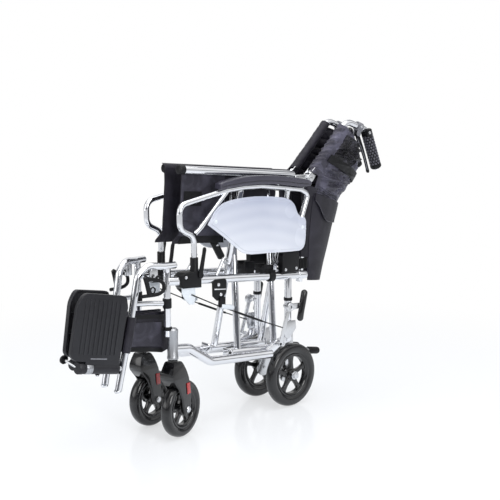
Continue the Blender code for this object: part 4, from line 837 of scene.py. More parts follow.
braceSet = {"pivotX": 0.0375, "pivot": 0.176, "front": -0.12, "rear": 0.086, "railFront": -0.272,
            "nearCap": -0.285, "railRear": 0.128, "strutFront": -0.082, "strutRear": 0.056, "step": 0.0202,
            "tube": 0.011, "strut": 0.0095}
braceSpan = (chairSet["seatRail"] - braceSet["pivot"]) * cos(chairSet["railSlope"])
braceLength = 2 * sqrt((braceSpan / 2) ** 2 + braceSet["pivotX"] ** 2)
braceLean = atan2(2 * braceSet["pivotX"], braceSpan)


def bracePiece(side):
    # side 1 pivots low on the left and carries the right seat rail
    s = braceSet
    x, seat = side * s["pivotX"], chairSet["seatRail"]
    steps = (0, 0) if side > 0 else (-s["step"], s["step"])
    lean = axisX * (-side * sin(braceLean)) + railUp * cos(braceLean)
    railStart = s["railFront"] + (0.016 if side > 0 else 0.002)
    pieces = [
        rodPiece(
            onRail(x, s["front"], s["pivot"]), onRail(x, s["rear"], s["pivot"]), s["tube"], 40, 0.0008),
        rodPiece(onRail(-x, railStart, seat), onRail(-x, s["railRear"], seat), s["tube"], 48, 0.0008)]
    heads = []
    for y, step, outwardWay in ((s["strutFront"], steps[0], -1), (s["strutRear"], steps[1], 1)):
        foot = onRail(x, y + step, s["pivot"])
        pieces.append(rodPiece(foot, foot + lean * braceLength, s["strut"], 40))
        if side > 0:
            centre = foot + lean * braceLength / 2
            centre.x = 0
            way = railAlong * outwardWay
            pieces.append(rodPiece(centre, centre + way * 0.0327, 0.005, 28))
            heads.append(boltHead(centre + way * 0.0303, way, 0.0068, 0.0044))
    return joined("brace", pieces), heads


for side, label in ((1, "inner"), (-1, "outer")):
    body, capY = "brace_" + label, braceSet["railFront" if side > 0 else "nearCap"]
    piece, heads = bracePiece(side)
    piece.name = "brace_tubes_" + label
    dress(piece, "chrome", body, [body], 32)
    if heads:
        dress(joined("brace_bolts", heads), "steel", body, [body], 30)
    for name, profile, y, steps in (
            ("seat_rail_cap_", [(0.0002, 0), (0.009, 0), (0.0112, 0.001), (0.0122, 0.0028), (0.0122, 0.0172),
                                (0.0114, 0.018), (0.01, 0.018)], capY, 48),
            ("seat_rail_plug_", [(0.0095, -0.003), (0.0108, -0.003), (0.0108, 0.0), (0.0092, 0.0014),
                                 (0.0002, 0.0014)], braceSet["railRear"], 40)):
        cap = turnedPiece(profile,
            onRail(-side * braceSet["pivotX"], y, chairSet["seatRail"]), railAlong, steps)
        cap.name = name + label
        dress(cap, "black", body, [body], 32)
stopBar = rodPiece(at(0, -0.135, 0.4885), at(0, -0.106, 0.441), 0.0104, 44, 0.0034)
stopBar.name = "stop_bar"
dress(stopBar, "black", "brace_outer", ["brace_stop"], 40)
dress(
    boltHead(at(0.0092, -0.129, 0.479), (1, 0, 0), 0.0036, 0.003), "steel", "brace_outer",
    ["brace_stop"], 30)
print("cross brace made")

# back canes, handles and their brake levers

onGrip = partial(pair, body="back", node="grip")
backSet = {"lean": radians(46.0), "length": 0.208, "tube": 0.0095, "reach": 0.092, "tilt": radians(18.0),
           "drop": radians(66.0)}
upLean = Vector((0, sin(backSet["lean"]), cos(backSet["lean"])))
caneTop = backHinge + upLean * (backSet["length"] + 0.018)
tiltWay = Vector((0, cos(backSet["tilt"]), -sin(backSet["tilt"])))
knee = caneTop + tiltWay * backSet["reach"]
gripWay = Vector((0, cos(backSet["drop"]), -sin(backSet["drop"])))
pair("upper_cane",
    tubePiece([
        moved(backHinge + upLean * 0.0135), moved(caneTop), moved(knee), moved(knee + gripWay * 0.128)],
        backSet["tube"], 0.036, 40, 14), "chrome", "back", "back_cane")
sideways = upLean.cross(axisX) * 0.0125
headTip, headLow = backHinge + upLean * 0.034, backHinge - upLean * 0.0075
cheekLine = [headTip + sideways * 0.8, headTip - sideways * 0.8, backHinge - sideways,
             headLow - sideways * 0.8, headLow + sideways * 0.8, backHinge + sideways]
cheekParts = [platePiece(sideOf(cheekLine), low, low + 0.003, 0.0009, 3) for low in (0.02675, 0.04625)]
cheekParts.append(rodPiece(moved(backHinge - axisX * 0.012), moved(backHinge + axisX * 0.0125), 0.004, 28))
cheekParts.append(
    turnedPiece([(0.0002, 0), (0.0068, 0), (0.0066, 0.001), (0.0045, 0.0018), (0.0002, 0.002)],
        moved(backHinge + axisX * 0.01125), (1, 0, 0), 32))
pair("hinge_cheeks", cheekParts, "steel", "back", "back_cane", sharp=30)

gripSet = {"start": 0.006, "pitch": 0.009, "round": 11, "rings": 11, "first": 0.011}
gripAt = knee + gripWay * gripSet["start"]
gripLine = [(0.0098, 0.0), (0.0128, 0.0), (0.0142, 0.0012), (0.0146, 0.004), (0.013, 0.0052), (0.013, 0.0062)]
gripLine += [(0.014, 0.0064), (0.0142, 0.07), (0.0148, 0.104), (0.0142, 0.1042), (0.0142, 0.1052),
             (0.0166, 0.1064), (0.0172, 0.112), (0.0166, 0.116), (0.0145, 0.1184), (0.0098, 0.119)]
onGrip("grip_core", turnedPiece(gripLine, moved(gripAt), gripWay, 56), "black", sharp=30)


def knobPiece():
    # one knurl block of the hand grip, copied round and along it
    bpy.ops.mesh.primitive_cube_add(size=1.0, location=(0.0148, 0, 0), scale=(0.004, 0.0056, 0.006))
    return rounded(applyAll(bpy.context.object), 0.0006, 2)


knobs = []
knob = knobPiece()
gripTurn = gripWay.to_track_quat("Z", "X").to_matrix().to_4x4()
for ring in range(gripSet["rings"]):
    along = gripSet["first"] + gripSet["pitch"] * ring
    spot = Matrix.Translation(moved(gripAt + gripWay * along)) @ gripTurn
    for step in range(gripSet["round"]):
        turn = 2 * pi * (step + 0.5 * (ring % 2)) / gripSet["round"]
        copy = copied(knob)
        copy.matrix_world = spot @ Matrix.Rotation(turn, 4, "Z")
        knobs.append(copy)
bpy.data.objects.remove(knob, do_unlink=True)
# the knurl blocks take the lighter finish: painted highlight
onGrip("grip_knurls", applyAll(joined("knurls", knobs)), "knurl", sharp=30)
onGrip("knee_block",
    [
        turnedPiece([(0.0098, 0), (0.0158, 0), (0.0168, 0.001), (0.0168, 0.015), (0.0158, 0.016),
            (0.0098, 0.016)], moved(knee + gripWay * 0.001), gripWay, 48),
        boxPiece(
            moved(knee + Vector((-0.006, -0.012, -0.02))),
            moved(knee + Vector((0.0172, 0.008, 0.004))), 0.0022)], "black", sharp=34)
onGrip("knee_bolt",
    boltHead(moved(knee + Vector((0.017, -0.002, -0.007))), (1, 0, 0), 0.004, 0.0028), "steel",
    sharp=30)

clampAt = knee - tiltWay * 0.036
clampDown = Vector((0, -sin(backSet["tilt"]), -cos(backSet["tilt"])))
leverPivot = clampAt + clampDown * 0.022
collar = turnedPiece([(0.0098, 0), (0.0128, 0), (0.0137, 0.001), (0.0137, 0.019), (0.0128, 0.02),
    (0.0098, 0.02)], moved(clampAt - tiltWay * 0.01), tiltWay, 48)
forkParts = [collar]
forkLine = [clampAt + tiltWay * along for along in (-0.009, 0.009)]
forkLine += [
    leverPivot + tiltWay * along + clampDown * down
    for along, down in ((0.0075, 0.003), (0.0045, 0.007), (-0.0045, 0.007), (-0.0075, 0.003))]
forkParts += [platePiece(sideOf(forkLine), low, low + 0.004, 0.0009, 3) for low in (0.0288, 0.0432)]
pair("lever_bracket", forkParts, "castGrey", "back", "brake_bracket")
pinParts = [
    rodPiece(moved(leverPivot - axisX * 0.009), moved(leverPivot + axisX * 0.009), 0.003, 24, 0.0003),
    boltHead(moved(clampAt + axisX * 0.0132), (1, 0, 0), 0.0035, 0.0028)]
pair("bracket_pins", pinParts, "steel", "back", "brake_bracket", sharp=30)

leverReach = (backHinge + Vector((0, 0.266, -0.006)) - leverPivot).normalized()
leverSide = gripWay.cross(axisX)


def leverLine(points):
    return sideOf([leverPivot + leverReach * along - leverSide * across for along, across in points])


bladeTop = [(0.0, -0.0062), (0.01, -0.0068), (0.03, -0.005), (0.05, -0.0018), (0.075, -0.0006),
            (0.1, -0.0014), (0.116, -0.0026), (0.124, -0.0044)]
bladeLow = [(0.129, -0.0022), (0.1305, 0.0018), (0.126, 0.0056), (0.116, 0.0056), (0.1, 0.0062),
            (0.075, 0.0078), (0.05, 0.0085), (0.03, 0.0078), (0.01, 0.007), (0.0, 0.0062)]
pair("lever_blade",
    [
        platePiece(leverLine(bladeTop + bladeLow), 0.0345, 0.0415, 0.0016, 4),
        rodPiece(
            moved(leverPivot - axisX * 0.0046), moved(leverPivot + axisX * 0.0046), 0.0075, 36,
            0.0008)], "leverDark", "brake_lever", "brake_lever")
edgeLine = [(0.012, -0.0073), (0.03, -0.0056), (0.05, -0.0024), (0.075, -0.0012), (0.1, -0.002),
            (0.118, -0.0034), (0.118, -0.0018), (0.1, -0.0004), (0.075, 0.0006), (0.05, -0.0006),
            (0.03, -0.0038), (0.012, -0.0058)]
pair("lever_edge",
    platePiece(leverLine(edgeLine), 0.0398, 0.0422, 0.0004, 2), "castGrey", "brake_lever",
    "brake_lever")
print("handles made")

# armrests

armSet = {"x": 0.067, "radius": 0.0075, "bend": 0.03, "strut": 0.0066, "foot": -0.26, "hinge": (0.088, 0.42),
          "tongue": (0.107, 0.468), "tongueWide": 0.0085}
armRoute = [(armSet["foot"], 0.468), (armSet["foot"], 0.52), (-0.306, 0.542), (-0.307, 0.603),
            (-0.15, 0.6305), (-0.09, 0.6345), (-0.02, 0.6335), (0.065, 0.623), (0.13, 0.614), (0.16, 0.6),
            (0.14, 0.55), armSet["tongue"]]
armTube = tubePiece([at(armSet["x"], y, z) for y, z in armRoute], armSet["radius"], armSet["bend"], 40, 14)
strutTube = tubePiece([
    at(armSet["x"], y, z)
    for y, z in ((-0.257, 0.526), (-0.238, 0.54), (-0.146, 0.628))], armSet["strut"], armSet["bend"],
    36, 10)
pair("armrest_tube", joined("tubes", [armTube, strutTube]), "chrome", "armrest", "armrest_frame")
armTip = rodPiece(
    at(armSet["x"], armSet["foot"], 0.454), at(armSet["x"], armSet["foot"], 0.47), 0.0058, 36, 0.001)
armHinge, tongueStart = Vector((armSet["x"], *armSet["hinge"])), Vector((armSet["x"], *armSet["tongue"]))
tongueWay = (tongueStart - armHinge).normalized()
tongueSide, wide = tongueWay.cross(axisX), armSet["tongueWide"]
tongueEnd = tongueStart + tongueWay * 0.006
tongueLine = [tongueEnd + tongueSide * 0.007, armHinge + tongueSide * wide]
for step in range(7):
    angle = pi * step / 6
    tongueLine.append(armHinge + tongueSide * wide * cos(angle) - tongueWay * wide * sin(angle))
tongueLine.append(tongueEnd - tongueSide * 0.007)
tongue = platePiece(sideOf(tongueLine), 0.063, 0.071, 0.0008, 2)
pair("armrest_tongue", joined("tongue", [tongue, armTip]), "steel", "armrest", "armrest_frame")

padLine = [(-0.178, 0.634), (-0.177, 0.649), (-0.17, 0.653), (-0.15, 0.6562), (-0.124, 0.66),
           (-0.097, 0.6625), (-0.07, 0.6636), (-0.0445, 0.6635), (-0.018, 0.6622), (0.0095, 0.6602),
           (0.037, 0.6576), (0.0645, 0.6545), (0.09, 0.6512), (0.1141, 0.6475), (0.133, 0.644),
           (0.15, 0.6405), (0.159, 0.6365), (0.164, 0.6315), (0.1625, 0.6265), (0.156, 0.6236),
           (0.145, 0.6225), (0.13, 0.622), (0.1141, 0.6235), (0.09, 0.627), (0.0645, 0.6305),
           (0.037, 0.6343), (0.0095, 0.6375), (-0.018, 0.6395), (-0.0445, 0.641), (-0.097, 0.6405),
           (-0.15, 0.637), (-0.17, 0.6325)]
pair("armrest_cushion",
    platePiece(padLine, 0.0535, 0.0805, 0.0058, 6), "pad", "armrest", "armrest_pad", sharp=60)
pair("cushion_seam",
    tubePiece([
        at(0.0801, y, z)
        for y, z in [(-0.174, 0.6415), (-0.15, 0.644), (-0.097, 0.648), (-0.0445, 0.6492),
            (0.0095, 0.646), (0.0645, 0.6402), (0.1141, 0.6325), (0.155, 0.628)]], 0.0009, 0.05, 12, 6),
    "webbing", "armrest", "armrest_pad")
fixings = [
    rodPiece(at(armSet["x"], y, z - 0.006), at(armSet["x"], y, z + 0.006), 0.0046, 28, 0.0005)
    for y, z in ((-0.1, 0.636), (0.04, 0.633))]
clips = [
    boxPiece(at(0.061, 0.063, 0.6135), at(0.073, 0.071, 0.624), 0.001),
    boxPiece(at(0.063, 0.079, 0.6125), at(0.0712, 0.099, 0.6175), 0.001),
    rodPiece(at(0.0756, 0.0665, 0.596), at(0.0756, 0.0665, 0.618), 0.0018, 20)]
pair("cushion_fixings", fixings + clips, "steel", "armrest", "armrest_frame")

guardLine = [(-0.2215, 0.5475), (-0.198, 0.579), (-0.184, 0.5905), (-0.17, 0.5985), (-0.15, 0.6035),
             (-0.13, 0.606), (-0.1127, 0.6075), (-0.084, 0.6085), (-0.054, 0.6086), (-0.027, 0.607),
             (-0.0004, 0.6047), (0.028, 0.6015), (0.0548, 0.5972), (0.073, 0.5925), (0.085, 0.5855),
             (0.094, 0.578), (0.1, 0.569), (0.1045, 0.559), (0.109, 0.55), (0.12, 0.54), (0.13, 0.5378),
             (0.1373, 0.5357), (0.141, 0.53), (0.143, 0.524), (0.1426, 0.5074), (0.142, 0.49),
             (0.141, 0.474), (0.1385, 0.461), (0.134, 0.453), (0.126, 0.447), (0.115, 0.4445),
             (0.085, 0.4455), (0.0558, 0.4472), (0.02, 0.4495), (-0.0134, 0.4515), (-0.042, 0.4526),
             (-0.0672, 0.4541), (-0.085, 0.4572), (-0.1, 0.462), (-0.113, 0.47), (-0.1259, 0.4798),
             (-0.145, 0.4935), (-0.164, 0.5085), (-0.194, 0.529)]


def guardPiece():
    # the outline pulled out to its wall, then a raised field let into its face
    s = {"low": 0.075, "wall": 0.0026, "rim": 0.0075, "step": 0.0019, "slope": 0.0022}
    panel = edited(
        drawnFace(guardLine, s["low"]), pulled(s["wall"]), letIn(s["rim"]), pulled(s["step"]),
        letIn(s["slope"]), selectAll, faceOut)
    return rounded(panel, 0.0007, 3, 25)


pair("guard_panel", guardPiece(), "guard", "armrest", "side_guard", sharp=50)
studSets = (
    ("guard_bumps",
        [(0.0002, 0), (0.0034, 0), (0.003, 0.0013), (0.0018, 0.0022), (0.0002, 0.0026)], 0.0778,
        ((0.138, 0.52), (0.1378, 0.504), (0.1372, 0.488), (0.136, 0.472)), 24, "guard", 60),
    ("guard_clips",
        [(0.0002, 0), (0.006, 0), (0.006, 0.001), (0.004, 0.002), (0.0002, 0.0023)], 0.0782,
        ((-0.196, 0.553), (0.127, 0.51)), 32, "paleGrey", 30))
for label, profile, x, places, steps, finish, sharp in studSets:
    studs = [turnedPiece(profile, at(x, y, z), (1, 0, 0), steps) for y, z in places]
    pair(label, joined("studs", studs), finish, "armrest", "side_guard", sharp=sharp)

leverHub = at(0.0782, -0.25, 0.4205)
pair("release_lever",
    [
        rodPiece(leverHub, leverHub + Vector((0.006, 0, 0)), 0.008, 40, 0.001),
        platePiece([(-0.256, 0.4205), (-0.2565, 0.426), (-0.244, 0.476), (-0.2425, 0.486),
            (-0.2405, 0.4912), (-0.236, 0.4922), (-0.2325, 0.4895), (-0.2318, 0.484), (-0.2345, 0.472),
            (-0.2435, 0.426), (-0.244, 0.4205)], 0.0788, 0.0836, 0.0012, 3)], "black", "armrest_lever",
    "armrest_lever")
print("armrests made")

# footrests

swingAt = at(-postSet["x"], postSet["y"], 0)
swing = Matrix.Translation(swingAt) @ Matrix.Rotation(radians(15.0), 4, "Z") @ Matrix.Translation(-swingAt)
onHanger = partial(pair, body="footrest", node="hanger", swing=swing)
onFootplate = partial(pair, body="footplate", node="footplate", swing=swing)
footSet = {"lean": radians(11.0), "axle": Vector((0.052, -0.497, 0.217))}
footWay = Vector((0, -cos(footSet["lean"]), sin(footSet["lean"])))
footRise = Vector((0, sin(footSet["lean"]), cos(footSet["lean"])))


def footAt(forward, up, x=0.0):
    return footSet["axle"] + footWay * forward + footRise * up + axisX * x


def footMoved(forward, up, x=0.0):
    return moved(footAt(forward, up, x))


hangerRoute = [(0.06, -0.32, 0.453), (0.06, -0.352, 0.454), (0.055, -0.398, 0.459), (0.052, -0.4285, 0.44),
               (0.052, -0.45, 0.34), (0.052, -0.472, 0.249), (0.052, -0.494, 0.162)]
onHanger("hanger_tube", tubePiece([at(*spot) for spot in hangerRoute], 0.009, 0.034, 44, 14), "chrome")
onHanger("hanger_plugs",
    [
        turnedPiece([(0.0002, 0), (0.0064, 0), (0.007, 0.0006), (0.007, 0.0022), (0.009, 0.003),
            (0.009, 0.006), (0.008, 0.007), (0.0002, 0.007)], at(0.06, -0.3145, 0.453), (0, -1, 0), 40),
        turnedPiece([(0.0002, 0), (0.008, 0), (0.009, 0.001), (0.009, 0.0055), (0.008, 0.0065),
            (0.0002, 0.0065)], at(0.052, -0.4951, 0.1565), (0, -0.245, 0.97), 40)], "steel")
onHanger("hanger_stay",
    [
        tubePiece([at(0.052, -0.4435, 0.369), at(0.054, -0.4, 0.365), at(0.059, -0.358, 0.36)], 0.0065,
            0.03, 32, 8),
        rodPiece(postAt(0.41), postAt(0.453), 0.005, 28),
        rodPiece(postAt(0.4386), postAt(0.453), 0.0085, 40, 0.0006)], "chrome")
shaftParts = [
    rodPiece(footMoved(-0.02, 0), footMoved(0.108, 0), 0.007, 36, 0.0006),
    boxPiece(at(0.054, -0.394, 0.42), at(0.0625, -0.374, 0.452), 0.0012),
    rodPiece(at(0.06, -0.384, 0.428), at(0.0764, -0.384, 0.428), 0.0035, 24, 0.0004)]
onHanger("hanger_shaft", shaftParts, "steel")

latchSet = {"x": 0.0742, "y": -0.384, "z": 0.428, "ring": 0.002}
latchX = latchSet["x"]
ringLine = [
    (0.0072 + latchSet["ring"] * cos(turn), latchSet["ring"] * sin(turn))
    for turn in [2 * pi * k / 12 for k in range(13)]]
latchRing = turnedPiece(ringLine, at(latchX + 0.001, -0.401, 0.401), (1, 0, 0), 48)
latchLoop = joined("loop",
    [
        tubePiece([
            at(latchX + 0.0008, y, z)
            for y, z in ((-0.424, 0.437), (-0.411, 0.4305), (-0.38, 0.424), (-0.366, 0.414),
                (-0.366, 0.396), (-0.38, 0.39), (-0.395, 0.3885), (-0.436, 0.39))], 0.0046, 0.014, 20,
            6),
        tubePiece([
            at(latchX + 0.0008, y, z)
            for y, z in ((-0.424, 0.437), (-0.418, 0.418), (-0.411, 0.39))], 0.0058, 0.01, 20, 6)])
pair("latch_pull",
    [
        turnedPiece([(0.0037, 0), (0.0082, 0), (0.0086, 0.0006), (0.0086, 0.0034), (0.008, 0.0042),
            (0.0037, 0.0042)],
            at(latchX - 0.0012, latchSet["y"], latchSet["z"]), (1, 0, 0), 44), latchLoop, latchRing],
    "black", "hanger_latch", "hanger_latch", swing=swing)

plateLine = [(0.002, 0.008), (0.1025, 0.008), (0.1025, 0.017), (0.118, 0.017), (0.129, 0.0178),
             (0.137, 0.0205), (0.143, 0.025), (0.1465, 0.03), (0.1475, 0.036), (0.1475, 0.14),
             (0.146, 0.15), (0.1415, 0.161), (0.136, 0.1705), (0.13, 0.1765), (0.124, 0.1793),
             (0.117, 0.1797), (0.023, 0.1797), (0.015, 0.179), (0.009, 0.1765), (0.0055, 0.172),
             (0.002, 0.162), (-0.001, 0.152), (0.0, 0.13), (0.002, 0.1)]


def footLine(outline):
    return sideOf([footAt(forward, up) for forward, up in outline])


def footPrism(outline, low, high, edge=0.0, segments=2):
    return platePiece(footLine(outline), footSet["axle"].x + low, footSet["axle"].x + high, edge, segments)


def footBar(forward, up, width, height, low, high, edge=0.0):
    return footPrism([(forward, up), (forward + width, up), (forward + width, up + height),
        (forward, up + height)], low, high, edge)


def treadPiece():
    # a shallow tray: the back face is let in to leave a wall all round
    s = {"depth": 0.011, "rim": 0.005, "let": 0.0074}
    tray = edited(
        drawnFace(footLine(plateLine), footSet["axle"].x + s["depth"]), pulled(-s["depth"]),
        letIn(s["rim"]), pulled(s["let"]), selectAll, faceOut)
    return rounded(tray, 0.0012, 3, 30)


treadParts = [treadPiece()]
treadParts += [
    footBar(0.0185 + index * 0.0128, 0.034, 0.0046, 0.132, 0.01, 0.0124, 0.0007)
    for index in range(9)]
treadParts += [footBar(0.005, up, 0.139, 0.003, 0.001, 0.01) for up in (0.072, 0.122)]
treadParts.append(
    turnedPiece([(0.0073, 0), (0.013, 0), (0.014, 0.0012), (0.014, 0.1028), (0.013, 0.104),
        (0.0073, 0.104)], footMoved(0, 0), footWay, 56))
treadParts.append(rodPiece(footMoved(0.056, -0.01), footMoved(0.056, -0.0165), 0.0055, 28, 0.0008))
treadParts.append(
    turnedPiece([(0.0073, 0), (0.0138, 0), (0.0148, 0.001), (0.0148, 0.012), (0.0136, 0.0138),
        (0.0002, 0.0142)], footMoved(0.1042, 0), footWay, 56))
# the tread takes the lighter copy of the black plastic: painted light
onFootplate("foot_tread", treadParts, "plateBlack")
collarRing = turnedPiece([(0.0141, 0.079), (0.0145, 0.0796), (0.0145, 0.0964), (0.0141, 0.097)],
    footMoved(0, 0), footWay, 56)
onFootplate("foot_band", joined("band", [collarRing]), "satin")
onFootplate("foot_slot", footBar(0.042, 0.023, 0.048, 0.0032, 0.0104, 0.0116, 0.0004), "castGrey")
onFootplate("foot_stop",
    rodPiece(footMoved(0.056, -0.0165), footMoved(0.056, -0.02), 0.004, 28, 0.0008), "steel")
pegRoot = footAt(0.114, 0)
pegTip = pegRoot + Vector((-0.052, -0.004, 0.011))
pegWay = (pegTip - pegRoot).normalized()
pegRod = rodPiece(moved(pegRoot), moved(pegTip), 0.0036, 28)
peg = turnedPiece([(0.0002, -0.002), (0.0095, -0.002), (0.011, -0.0008), (0.011, 0.0044),
    (0.0098, 0.006), (0.0002, 0.006)], moved(pegTip), pegWay, 48)
for piece, name, finish in ((pegRod, "foot_peg_rod", "steel"), (peg, "foot_peg", "black")):
    piece.name = name
    dress(piece, finish, "footplate_left", ["footplate_left"], 30)
print("footrests made")

# parking brakes: black grip, steel crank

crankHub = Vector((0.0785, 0.074, 0.291))
gripFoot, gripHead = Vector((0.089, 0.1095, 0.256)), Vector((0.089, 0.1255, 0.325))
gripSpan = (gripHead - gripFoot).length
ballRadius = 0.0094
gripTurned = [(0.0002, -ballRadius)]
gripTurned += [(ballRadius * cos(radians(a)), ballRadius * sin(radians(a))) for a in (-70, -50, -30, -10)]
gripTurned += [(0.0088, gripSpan * 0.3), (ballRadius, gripSpan * 0.62)]
gripTurned += [
    (ballRadius * cos(radians(a)), gripSpan + ballRadius * sin(radians(a)))
    for a in (0, 20, 40, 60, 80)]
gripTurned.append((0.0002, gripSpan + 0.0095))
pair("brake_handle",
    turnedPiece(gripTurned, moved(gripFoot), gripHead - gripFoot, 48), "wheelBlack", "parking_brake",
    "parking_brake")
crankArm = platePiece([(0.074, 0.282), (0.074, 0.3), (0.118, 0.297), (0.118, 0.283)], 0.0789, 0.086,
    0.0012, 3)
shoeTurn = radians(-108.5)
shoe = crankHub + Vector((0, cos(shoeTurn), sin(shoeTurn))) * 0.1062
shoeSide = Vector((0, -sin(shoeTurn), cos(shoeTurn))) * 0.0055
shoeEnd = Vector((0, cos(shoeTurn), sin(shoeTurn))) * 0.005
shankLine = [crankHub + shoeSide * 1.3, crankHub - shoeSide * 1.3, shoe - shoeSide + shoeEnd,
             shoe + shoeSide + shoeEnd]
pair("brake_crank",
    [
        turnedPiece([(0.0047, 0), (0.0118, 0), (0.0125, 0.0008), (0.0125, 0.0085), (0.0112, 0.0098),
            (0.0085, 0.0098), (0.008, 0.009), (0.0047, 0.009)], moved(crankHub - axisX * 0.0005),
            (1, 0, 0), 48), crankArm,
        platePiece(sideOf(shankLine), 0.0785, 0.0815, 0.0008, 2),
        rodPiece(at(0.0675, shoe.y, shoe.z), at(0.0815, shoe.y, shoe.z), 0.005, 32, 0.0008)], "steel",
    "parking_brake", "parking_brake")
print("parking brakes made")

# cloth: every sheet is a grid of points that is given its wall at the end


def quadArea(a, b, c, d):
    return ((b - a).cross(c - a).length + (c - a).cross(d - a).length) / 2


def runLengths(line):
    total = [0.0]
    for before, after in zip(line, line[1:]):
        total.append(total[-1] + (after - before).length)
    return total


def clothGrid(name, rows, wall, finish, flip=False, keep=None):
    # rows of points across the cloth, with a UV map in metres; keep tells which squares stay
    width = len(rows[0])
    across = [runLengths(row) for row in rows]
    down = [runLengths(column) for column in zip(*rows)]
    faces, area = [], 0.0
    for row in range(len(rows) - 1):
        for column in range(width - 1):
            if keep is not None and not keep(row, column):
                continue
            square = [(row, column), (row, column + 1), (row + 1, column + 1), (row + 1, column)]
            area += quadArea(*[rows[a][b] for a, b in square])
            corners = [a * width + b for a, b in square]
            faces.append(corners[::-1] if flip else corners)
    mesh = bpy.data.meshes.new(name)
    mesh.from_pydata([point for row in rows for point in row], [], faces)
    layer = mesh.uv_layers.new(name="UVMap")
    for loop in mesh.loops:
        row, column = divmod(loop.vertex_index, width)
        layer.data[loop.index].uv = (across[row][column], down[column][row])
    piece = bpy.data.objects.new(name, mesh)
    bpy.context.scene.collection.objects.link(piece)
    edited(piece, bpy.ops.mesh.delete_loose, selectAll)
    thick = piece.modifiers.new("wall", "SOLIDIFY")
    thick.thickness = wall
    thick.offset = 0
    thick.use_even_offset = False
    applyAll(piece)
    piece.data.materials.append(finishes[finish])
    bpy.ops.object.shade_smooth_by_angle(angle=radians(60))
    flat = (max(run[-1] for run in across), max(run[-1] for run in down))
    return piece, flat, area


def hang(name, rows, wall, finish, body, nodes, flip=False, keep=None, bend=None):
    piece, flat, area = clothGrid(name, rows, wall, finish, flip, keep)
    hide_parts(*nodes)
    if bend is None:
        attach(piece, body)
    else:
        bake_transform(piece)


def crumple(point, scale, seed):
    # ridged folds, 0 to 1, that run on a slant
    shifted = Vector((point.x * 0.6, point.y + point.z * 0.55, point.z * 1.7 - point.y * 0.9)) * scale
    first = 1 - abs(noise.noise(shifted + Vector((seed, 0, 0)))) * 2
    second = 1 - abs(noise.noise(shifted * 2.1 + Vector((0, seed, 3)))) * 2
    return max(0.0, first) ** 2 * 0.7 + max(0.0, second) ** 2 * 0.3


# the back: a panel from the skirt's hem up past the hinge, a sleeve on each cane, and what lies on them

backKeys = (  # cane centre, outer x, where the panel starts behind it, and the fold's ridge
    ((0.1576, 0.352), 0.047, 0.024, (0.265, 0.337)),
    ((0.163, 0.4), 0.047, 0.02, (0.281, 0.385)),
    ((0.1692, 0.455), 0.0475, 0.014, (0.301, 0.436)),
    ((0.1754, 0.51), 0.0485, 0.012, (0.319, 0.49)),
    ((0.1812, 0.562), 0.0495, 0.012, (0.335, 0.532)),
    ((0.1865, 0.612), 0.0525, 0.015, (0.344, 0.56)),
    ((0.202, 0.652), 0.053, 0.016, (0.355, 0.574)),
    ((0.224, 0.673), 0.051, 0.012, (0.382, 0.594)),
    ((0.247, 0.695), 0.0505, 0.01, (0.408, 0.618)),
    ((0.271, 0.718), 0.0505, 0.01, (0.43, 0.644)),
    ((0.293, 0.739), 0.0505, 0.01, (0.436, 0.672)),
    ((0.32, 0.765), 0.0505, 0.01, (0.43, 0.702)),
)
backSize = {"wall": 0.0016, "top": 11.95, "lowSleeve": (1.32, 5.15), "highSleeve": 6.05, "nearEnd": 11.62,
            "farEnd": 11.95, "band": 0.0052, "bandWall": 0.0018, "flapWall": 0.002, "faceWall": 0.0012}


def backRow(t):
    low = min(int(t), len(backKeys) - 2)
    share = t - low
    first, second = backKeys[low], backKeys[low + 1]
    cane = fold(Vector(first[0]), Vector(second[0]), share)
    ridge = fold(Vector(first[3]), Vector(second[3]), share)
    return cane, fold(first[1], second[1], share), fold(first[2], second[2], share), ridge


def softStep(value, low, high):
    share = min(1.0, max(0.0, (value - low) / (high - low)))
    return share * share * (3 - 2 * share)


def backDepth(t, s, side):
    # how far the panel's cloth stands out at one place, in metres
    cane, x, start, ridge = backRow(t)
    place = Vector((x * (1 - s), fold(cane.x, ridge.x, s), fold(cane.y, ridge.y, s)))
    lobe = softStep(t, 5.3, 6.4) * (1 - 0.55 * softStep(t, 9.6, 11.0))
    ruffle = softStep(t, 4.5, 4.8) * (1 - softStep(t, 5.3, 5.6))
    bound = 1 - 0.8 * softStep(t, 7.5, 7.8) * (1 - softStep(t, 8.8, 9.1))
    slant = abs(sin(pi * (t * 1.15 - s * 2.3 + 0.55 * noise.noise(place * 16.0))))
    rise = 0.017 * lobe * bound * ((1 - slant) ** 2.2 * softStep(s, 0.0, 0.12) - 0.15)
    rise += 0.01 * lobe * bound * (crumple(place, 24.0, side * 5.0) - 0.3)
    rise += 0.0022 * lobe * bound * (crumple(place, 60.0, side * 9.0) - 0.3) * (1 - softStep(s, 0.5, 0.8))
    rise += 0.003 * ruffle * (sin(t * 34.0 + 5.0 * noise.noise(Vector((s * 5, t, side)))) - 0.4)
    rise += 0.001 * (noise.noise(place * 22.0) + 0.4 * noise.noise(place * 60.0))
    edge = softStep(s, 0.0, 0.1) * (1 - softStep(s, 0.93, 1.0))
    return rise * edge * (1 - 0.85 * softStep(s, 0.45, 0.8)) * (1.0 if side > 0 else 0.45)


ridgeGap = 0.00005  # from the middle plane to each half of the back
farRise = 0.042  # the far half stands up at its top, between the two sleeves


